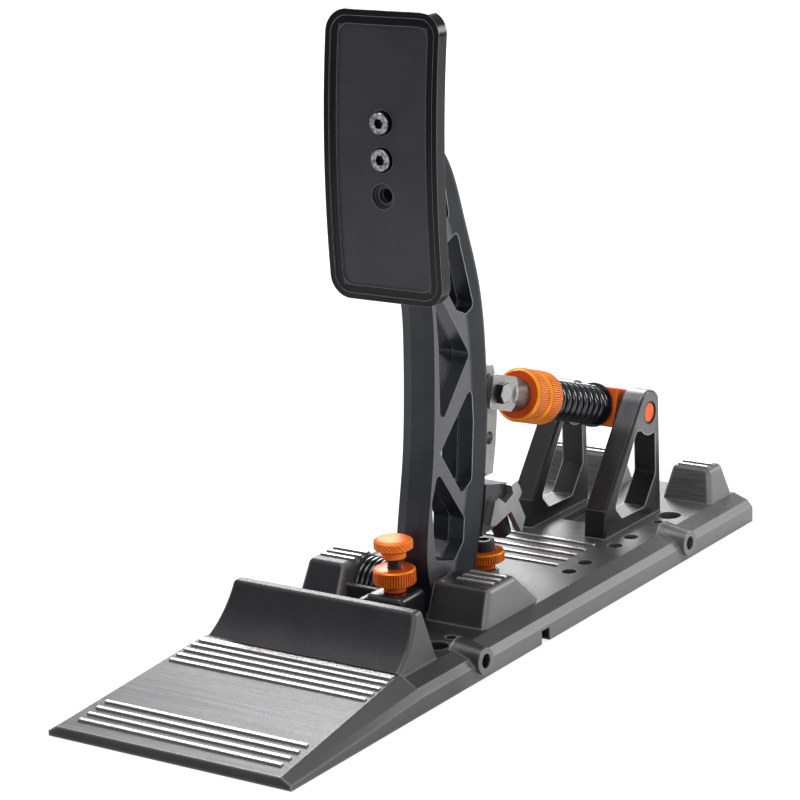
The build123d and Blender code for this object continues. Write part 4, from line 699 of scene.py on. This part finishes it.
cast = cast_metal()
frame_paint = frame_metal()
arm_paint = arm_metal()
fork = fork_metal()
bolt = bolt_metal()
plate_paint = plate_metal()
screw_heads = screw_head_metal()
orange = anodised("anodised_orange", dark=(0.78, 0.10, 0.008), light=(0.86, 0.14, 0.012), rough=0.34)
knob_orange = anodised("knob_orange", dark=(0.88, 0.17, 0.014), light=(0.95, 0.22, 0.02), rough=0.5)
preload_orange = preload_finish()
stop_orange = stop_finish(
    "stop_orange", "front_stop_ring", front_stop, front_collar,
    knurled=(0.82, 0.13, 0.01), grooved=(0.16, 0.02, 0.004),
    bevelled=(0.95, 0.27, 0.012), faced=(0.72, 0.1, 0.008),
)
rear_orange = stop_finish(
    "rear_orange", "rear_stop_ring", rear_stop, rear_collar,
    knurled=(0.85, 0.17, 0.01), grooved=(0.16, 0.02, 0.004),
    bevelled=(0.98, 0.33, 0.012), faced=(0.74, 0.12, 0.008),
)
gloss_black = metal(
    "spring_black", dark=(0.008, 0.009, 0.011), light=(0.014, 0.015, 0.018),
    rough=0.15, spread=0.04, metallic=0.2, grain=900.0, relief=0.01, coat=0.8,
)
# The edge colours given to metal() are painted highlights on the edges
brushed = metal(
    "brushed_steel", dark=(0.26, 0.255, 0.25), light=(0.36, 0.355, 0.35),
    rough=0.38, spread=0.08, metallic=0.8, grain=900.0, relief=0.02,
    edge=(0.6, 0.59, 0.58), edge_radius=0.4, stretch=(1.0, 0.06, 1.0),
)
screw_metal = metal(
    "screw_steel", dark=(0.14, 0.14, 0.15), light=(0.34, 0.34, 0.35),
    rough=0.34, spread=0.06, metallic=0.8, grain=1800.0, relief=0.01,
    edge=(0.5, 0.5, 0.5), edge_radius=0.2, patches=900.0,
)
black_oxide = metal(
    "black_oxide", dark=(0.012, 0.012, 0.014), light=(0.022, 0.022, 0.024),
    rough=0.28, spread=0.05, metallic=0.4, grain=1500.0, relief=0.01,
    edge=(0.2, 0.2, 0.21), edge_radius=0.3,
)
rubber = metal(
    "rubber", dark=(0.011, 0.011, 0.012), light=(0.018, 0.018, 0.019),
    rough=0.5, spread=0.1, metallic=0.0, grain=1300.0, relief=0.03,
)
plastic = metal(
    "plastic", dark=(0.015, 0.015, 0.017), light=(0.024, 0.024, 0.026),
    rough=0.32, spread=0.06, metallic=0.0, grain=1500.0, relief=0.02,
    edge=(0.12, 0.12, 0.125), edge_radius=0.5,
)
bronze = metal(
    "bronze", dark=(0.36, 0.24, 0.1), light=(0.46, 0.32, 0.15),
    rough=0.35, spread=0.05, metallic=1.0, grain=1800.0, relief=0.01,
)
board = metal(
    "board", dark=(0.01, 0.09, 0.04), light=(0.02, 0.14, 0.06),
    rough=0.35, spread=0.05, metallic=0.0, grain=1500.0, relief=0.01,
)

finishes = {
    cast: ("base_casting",),
    frame_paint: ("frame_right", "frame_left"),
    arm_paint: ("pedal_arm",),
    plate_paint: ("pedal_plate",),
    orange: (
        "trunnion_block", "trunnion_pins", "preload_nut_front", "preload_nut_rear", "front_stop_knob",
        "front_stop_ring", "rear_stop_ring",
    ),
    gloss_black: ("torsion_spring", "compression_spring", "spring_washer_front", "spring_washer_rear"),
    brushed: ("lug_plate", "foot_bracket", "strut_rod", "pivot_shaft", "lug_pins", "sensor_magnet"),
    fork: ("clevis",),
    bolt: ("clevis_bolt",),
    screw_heads: ("plate_screws",),
    screw_metal: ("clevis_nut", "rod_nut", "rear_stop_stud"),
    black_oxide: (
        "frame_screws", "shaft_plug", "stop_seat_screws", "shaft_set_screw", "foot_screw",
        "front_stop_stud",
    ),
    rubber: ("foot_pad", "rear_bumper"),
    plastic: (
        "spring_sleeve", "stop_seat", "sensor_chip", "sensor_cover", "cable_terminal", "thrust_washer",
        "stop_foot", "trunnion_spacers",
    ),
    bronze: ("pivot_bush_right", "pivot_bush_left", "adjuster_insert", "block_bush"),
    board: ("sensor_board",),
}
for material, names in finishes.items():
    for name in names:
        mesh = frame["nodes"][name].data
        mesh.materials.clear()
        mesh.materials.append(material)


# Knurled rings, knob and threaded stud
tooth_shares = (0.0, 0.58, 0.7, 0.88)
tooth_depths = (0.0, 0.0, 1.0, 1.0)
preload_teeth, stop_teeth = 72, 50


def tooth_angles(teeth):
    return [2 * math.pi * (tooth + share) / teeth for tooth in range(teeth) for share in tooth_shares]


def straight_knurl(column, height):
    return tooth_depths[column % len(tooth_depths)]


def axis_place(origin, axis):
    """The turn and move that put a piece's own Z axis on an axis that is square to X."""
    turn = Matrix((X_AXIS, axis.cross(X_AXIS), axis)).transposed().to_4x4()
    return Matrix.Translation(origin) @ turn


strut_place = axis_place(clevis_pin, strut)


def preload_ring(name, replaced, body, face_radius=9.6):
    start, end = reach(replaced, strut, clevis_pin)
    bore, outer = girth(replaced, strut, clevis_pin)
    root = outer - preload_groove
    low, high = start + preload_chamfer, end - preload_chamfer
    rows = [
        (start, bore, 0), (start, face_radius, 0), (start, outer - preload_chamfer, 0),
        (low, root, 0), (low + knurl_lip, outer, preload_groove),
        (high - knurl_lip, outer, preload_groove), (high, root, 0),
        (end, outer - preload_chamfer, 0), (end, face_radius, 0), (end, bore, 0),
    ]
    mesh = turned(name, strut_place, tooth_angles(preload_teeth), rows, straight_knurl)
    return add_object(name, mesh, body, replaced, preload_orange)


preload_ring("preload_ring_front", "preload_nut_front", "front_preload_nut")
preload_ring("preload_ring_rear", "preload_nut_rear", "rear_preload_nut")


def stop_ring(name, replaced, body, foot, collar, finish, collar_radius=4.9, collar_bevel=0.4):
    bottom, top = reach(replaced, Z_AXIS)
    bore, outer = girth(replaced, Z_AXIS, foot)
    edge = stop_chamfer
    root = outer - stop_groove
    low = bottom + collar
    rows = [
        (bottom, bore, 0), (bottom, collar_radius - collar_bevel, 0),
        (bottom + collar_bevel, collar_radius, 0), (low - collar_bevel, collar_radius, 0),
        (low, collar_radius + collar_bevel, 0), (low, root - edge, 0),
        (low + edge * 0.35, root - edge * 0.3, 0), (low + edge, root, 0),
        (low + edge + knurl_lip, outer, stop_groove), (top - edge - knurl_lip, outer, stop_groove),
        (top - edge, outer - stop_groove * 0.4, 0), (top - edge * 0.35, root - edge * 0.1, 0),
        (top, root - edge * 0.8, 0), (top, bore, 0),
    ]
    mesh = turned(name, Matrix.Translation(foot), tooth_angles(stop_teeth), rows, straight_knurl)
    return add_object(name, mesh, body, replaced, finish)


stop_ring("stop_ring_front", "front_stop_ring", "front_ring", front_stop, front_collar, stop_orange)
stop_ring("stop_ring_rear", "rear_stop_ring", "rear_ring", rear_stop, rear_collar, rear_orange)

diamonds, columns_per_diamond = 26, 10
diamond_height, diamond_groove_share, diamond_groove = 2.0, 0.17, 0.32
knob_knurl_start, knob_knurl_end = 45.0, 48.1
knob_knurl_rows = 18
# The knob's outline in rises and radii: its neck up from the bottom, its crown down from the top
knob_neck = ((0.0, 1.0), (0.0, 4.9), (0.4, 5.3), (2.5, 5.3), (3.1, 5.75), (3.55, 6.9), (4.19, 8.0))
knob_crown = ((-0.81, 8.05), (-0.45, 7.5), (-0.15, 6.9), (0.0, 6.0), (0.0, 1.0))


def diamond_knurl(column, height):
    """How deep the crossed grooves are, as a share, at a column and a height."""
    turn = column / columns_per_diamond
    climb = (height - knob_knurl_start) / diamond_height
    deepest = 0.0
    for place in (turn + climb, turn - climb):
        deepest = max(deepest, 1 - abs(place - round(place)) / diamond_groove_share)
    return min(deepest, 1.0)


def stop_knob():
    bottom, top = reach("front_stop_knob", Z_AXIS)
    radius = girth("front_stop_knob", Z_AXIS, front_stop)[1]
    rows = [(bottom + rise, out, 0) for rise, out in knob_neck]
    for row in range(knob_knurl_rows):
        share = row / (knob_knurl_rows - 1)
        height = knob_knurl_start + (knob_knurl_end - knob_knurl_start) * share
        rows.append((height, radius, diamond_groove))
    rows += [(top + rise, out, 0) for rise, out in knob_crown]
    angles = around_circle(diamonds * columns_per_diamond)
    mesh = turned("stop_knob", Matrix.Translation(front_stop), angles, rows, diamond_knurl, ring=False)
    return add_object("stop_knob", mesh, "front_knob", "front_stop_knob", knob_orange)


stop_knob()

thread_pitch, thread_depth, thread_end_radius = 1.0, 0.45, 2.6
thread_runout = 0.2
thread_last_crest, thread_end = 43.0, 43.8
thread_columns = 32


def stop_thread():
    start = reach("front_stop_stud", Z_AXIS)[0]
    crest = girth("front_stop_stud", Z_AXIS, front_stop)[1]
    rows = [(start, thread_end_radius, 0)]
    height = start + thread_runout
    while height < thread_last_crest:
        rows += [(height, crest, 0), (height + thread_pitch / 2, crest - thread_depth, 0)]
        height += thread_pitch
    rows.append((thread_end, thread_end_radius, 0))
    angles = around_circle(thread_columns)
    place = Matrix.Translation(front_stop)
    mesh = turned("stop_thread", place, angles, rows, lambda column, height: 0, ring=False)
    return add_object("stop_thread", mesh, "front_knob", "front_stop_stud", black_oxide)


stop_thread()

# Springs, whose turns are counted in quarters
steps_per_quarter = 12
seat_gap = 0.03
strut_wire, strut_outer = 3.0, 9.2
strut_quarters, closed_quarters, closed_rise = 36, 4, 0.9
block_half, rear_washer = 8.8, 1.2


def strut_spring():
    """The compression spring: closed ends, open turns between them."""
    radius = strut_outer - strut_wire / 2
    first = reach("spring_washer_front", strut, clevis_pin)[1] + seat_gap + strut_wire / 2
    last = strut_length - block_half - rear_washer - 2 * seat_gap - strut_wire / 2
    open_quarters = strut_quarters - 2 * closed_quarters
    open_rise = (last - first - 2 * closed_quarters * closed_rise) / open_quarters
    path = []
    height = first
    for index in range(strut_quarters * steps_per_quarter + 1):
        quarter = index / steps_per_quarter
        angle = math.radians(90 * quarter)
        path.append(Vector((radius * math.cos(angle), radius * math.sin(angle), height)))
        from_end = min(quarter, strut_quarters - quarter)
        share = min(max(from_end - (closed_quarters - 0.5), 0), 1)
        height += (closed_rise + (open_rise - closed_rise) * share) / steps_per_quarter
    stretch = (last - first) / (path[-1].z - path[0].z)
    path = [strut_place @ Vector((p.x, p.y, first + (p.z - first) * stretch)) for p in path]
    mesh = tube("strut_spring", path, strut_wire / 2)
    piece = add_object("strut_spring", mesh, "strut", "compression_spring", gloss_black)
    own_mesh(piece)


strut_spring()

pivot_wire, pivot_radius = 2.2, 12.2
pivot_quarters, pivot_pitch, pivot_start_angle = 29, 2.68, 95.0
pivot_side_gap = 4.4
leg_bend, leg_depth = 2.6, 3.3
corner_steps = 6


def leg_corner(start, way, side):
    """A round corner from the wire's own way into a leg that runs to one side, its last point included."""
    points = []
    for step in range(1, corner_steps + 1):
        share = step / corner_steps
        points.append(start + way * leg_bend * (2 * share - share * share) + side * leg_bend * share * share)
    return points


def pivot_spring():
    """The torsion spring: it winds leftward from the arm, and its legs sit in the arm and the shoulder."""
    coil = []
    for index in range(pivot_quarters * steps_per_quarter + 1):
        quarter = index / steps_per_quarter
        angle = math.radians(pivot_start_angle + 90 * quarter)
        x = arm_left - pivot_side_gap - pivot_pitch / 4 * quarter
        y = pivot.y + pivot_radius * math.cos(angle)
        z = pivot.z + pivot_radius * math.sin(angle)
        coil.append(Vector((x, y, z)))
    right = leg_corner(coil[0], (coil[0] - coil[1]).normalized(), X_AXIS)
    left = leg_corner(coil[-1], (coil[-1] - coil[-2]).normalized(), -X_AXIS)
    leg_left, leg_right = reach("torsion_spring", X_AXIS)
    right_end = Vector((leg_right, right[-1].y, right[-1].z))
    left_end = Vector((leg_left, left[-1].y, left[-1].z))
    path = [right_end] + right[::-1] + coil + left + [left_end]
    mesh = tube("pivot_spring", path, pivot_wire / 2)
    piece = add_object("pivot_spring", mesh, None, "torsion_spring", gloss_black)
    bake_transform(piece)


pivot_spring()

# Camera at the photograph's angle, for a square frame
camera_place = Vector((697.8, -1029.0, 441.5))
camera_azimuth, camera_elevation, camera_roll = math.radians(34.6), math.radians(15.36), math.radians(-2.36)
lens, sensor_width = 135.0, 36.0
nearest_seen = 10.0


def add_camera():
    level = math.cos(camera_elevation)
    back = Vector(
        (math.sin(camera_azimuth) * level, -math.cos(camera_azimuth) * level, math.sin(camera_elevation))
    )
    right = Vector((math.cos(camera_azimuth), math.sin(camera_azimuth), 0))
    up = back.cross(right)
    across = right * math.cos(camera_roll) + up * math.sin(camera_roll)
    upright = up * math.cos(camera_roll) - right * math.sin(camera_roll)
    data = bpy.data.cameras.new("camera")
    data.sensor_width = sensor_width
    data.lens = lens
    data.clip_start = nearest_seen * MM
    camera = bpy.data.objects.new("camera", data)
    turn = Matrix((across, upright, back)).transposed().to_4x4()
    camera.matrix_world = Matrix.Translation(camera_place * MM) @ turn
    link(camera)
    bpy.context.scene.camera = camera


add_camera()


# Light, world and floor
def add_lamp(name, place, target, size, power):
    data = bpy.data.lights.new(name, "AREA")
    data.shape = "DISK"
    data.size = size * MM
    data.energy = power
    lamp = bpy.data.objects.new(name, data)
    place, target = Vector(place) * MM, Vector(target) * MM
    lamp.rotation_euler = (target - place).to_track_quat("-Z", "Y").to_euler()
    lamp.location = place
    link(lamp)


add_lamp("top", place=(-300, -300, 1900), target=(0, 0, 50), size=1100, power=20)
add_lamp("back_left", place=(-1050, 1500, 1100), target=(0, 0, 50), size=900, power=26)
add_lamp("back_right", place=(1300, 1500, 750), target=(0, 0, 80), size=800, power=18)
add_lamp("front", place=(1200, -1400, 900), target=(0, 0, 100), size=700, power=7)

seen_rays = ("Is Camera Ray", "Is Transmission Ray")


def any_ray(tree, names):
    """One for the rays named, zero for the others."""
    light_path = tree.nodes.new("ShaderNodeLightPath")
    total = light_path.outputs[names[0]]
    for name in names[1:]:
        joined = tree.nodes.new("ShaderNodeMath")
        joined.operation = "MAXIMUM"
        tree.links.new(total, joined.inputs[0])
        tree.links.new(light_path.outputs[name], joined.inputs[1])
        total = joined.outputs[0]
    return total


def add_shader(tree, kind, **values):
    made = tree.nodes.new(kind)
    for key, value in values.items():
        made.inputs[key].default_value = value
    return made.outputs[0]


def join_shaders(tree, kind, *sources):
    made = tree.nodes.new(kind)
    for source, socket in zip(sources, made.inputs):
        tree.links.new(source, socket)
    return made.outputs[0]


def add_world():
    """A soft cool fill for the object, and plain white where the camera looks past it."""
    world = bpy.data.worlds.new("studio")
    bpy.context.scene.world = world
    world.use_nodes = True
    tree = world.node_tree
    tree.nodes.clear()
    fill = add_shader(tree, "ShaderNodeBackground", Color=(0.95, 0.97, 1.0, 1.0), Strength=0.4)
    white = add_shader(tree, "ShaderNodeBackground", Color=(1.0, 1.0, 1.0, 1.0))
    shown = join_shaders(tree, "ShaderNodeMixShader", any_ray(tree, seen_rays), fill, white)
    output = tree.nodes.new("ShaderNodeOutputWorld")
    tree.links.new(shown, output.inputs[0])


add_world()

floor_half = 6000.0
floor_gap = 0.2


def add_floor():
    """A floor that looks nearly white to the camera and lights the object as a pale grey one."""
    mesh = bpy.data.meshes.new("floor")
    corners = [(-1, -1), (1, -1), (1, 1), (-1, 1)]
    half = floor_half * MM
    mesh.from_pydata([(x * half, y * half, 0) for x, y in corners], [], [(0, 1, 2, 3)])
    floor = bpy.data.objects.new("floor", mesh)
    link(floor)
    floor.location.z = -floor_gap * MM
    made = Finish("floor")
    grain = made.noise(30.0, detail=4.0, roughness=0.55)
    made.set(colour=made.mix(grain, (0.8, 0.8, 0.8), (0.83, 0.83, 0.83)), roughness=0.7)
    tree = made.tree
    matte = add_shader(tree, "ShaderNodeBsdfDiffuse", Color=(0.35, 0.35, 0.35, 1.0))
    glow = add_shader(tree, "ShaderNodeEmission", Strength=0.8)
    seen = join_shaders(tree, "ShaderNodeAddShader", matte, glow)
    shown = join_shaders(tree, "ShaderNodeMixShader", any_ray(tree, seen_rays), made.shader.outputs[0], seen)
    tree.links.new(shown, tree.nodes["Material Output"].inputs[0])
    mesh.materials.append(made.material)


add_floor()

bpy.context.scene.view_settings.view_transform = "Standard"
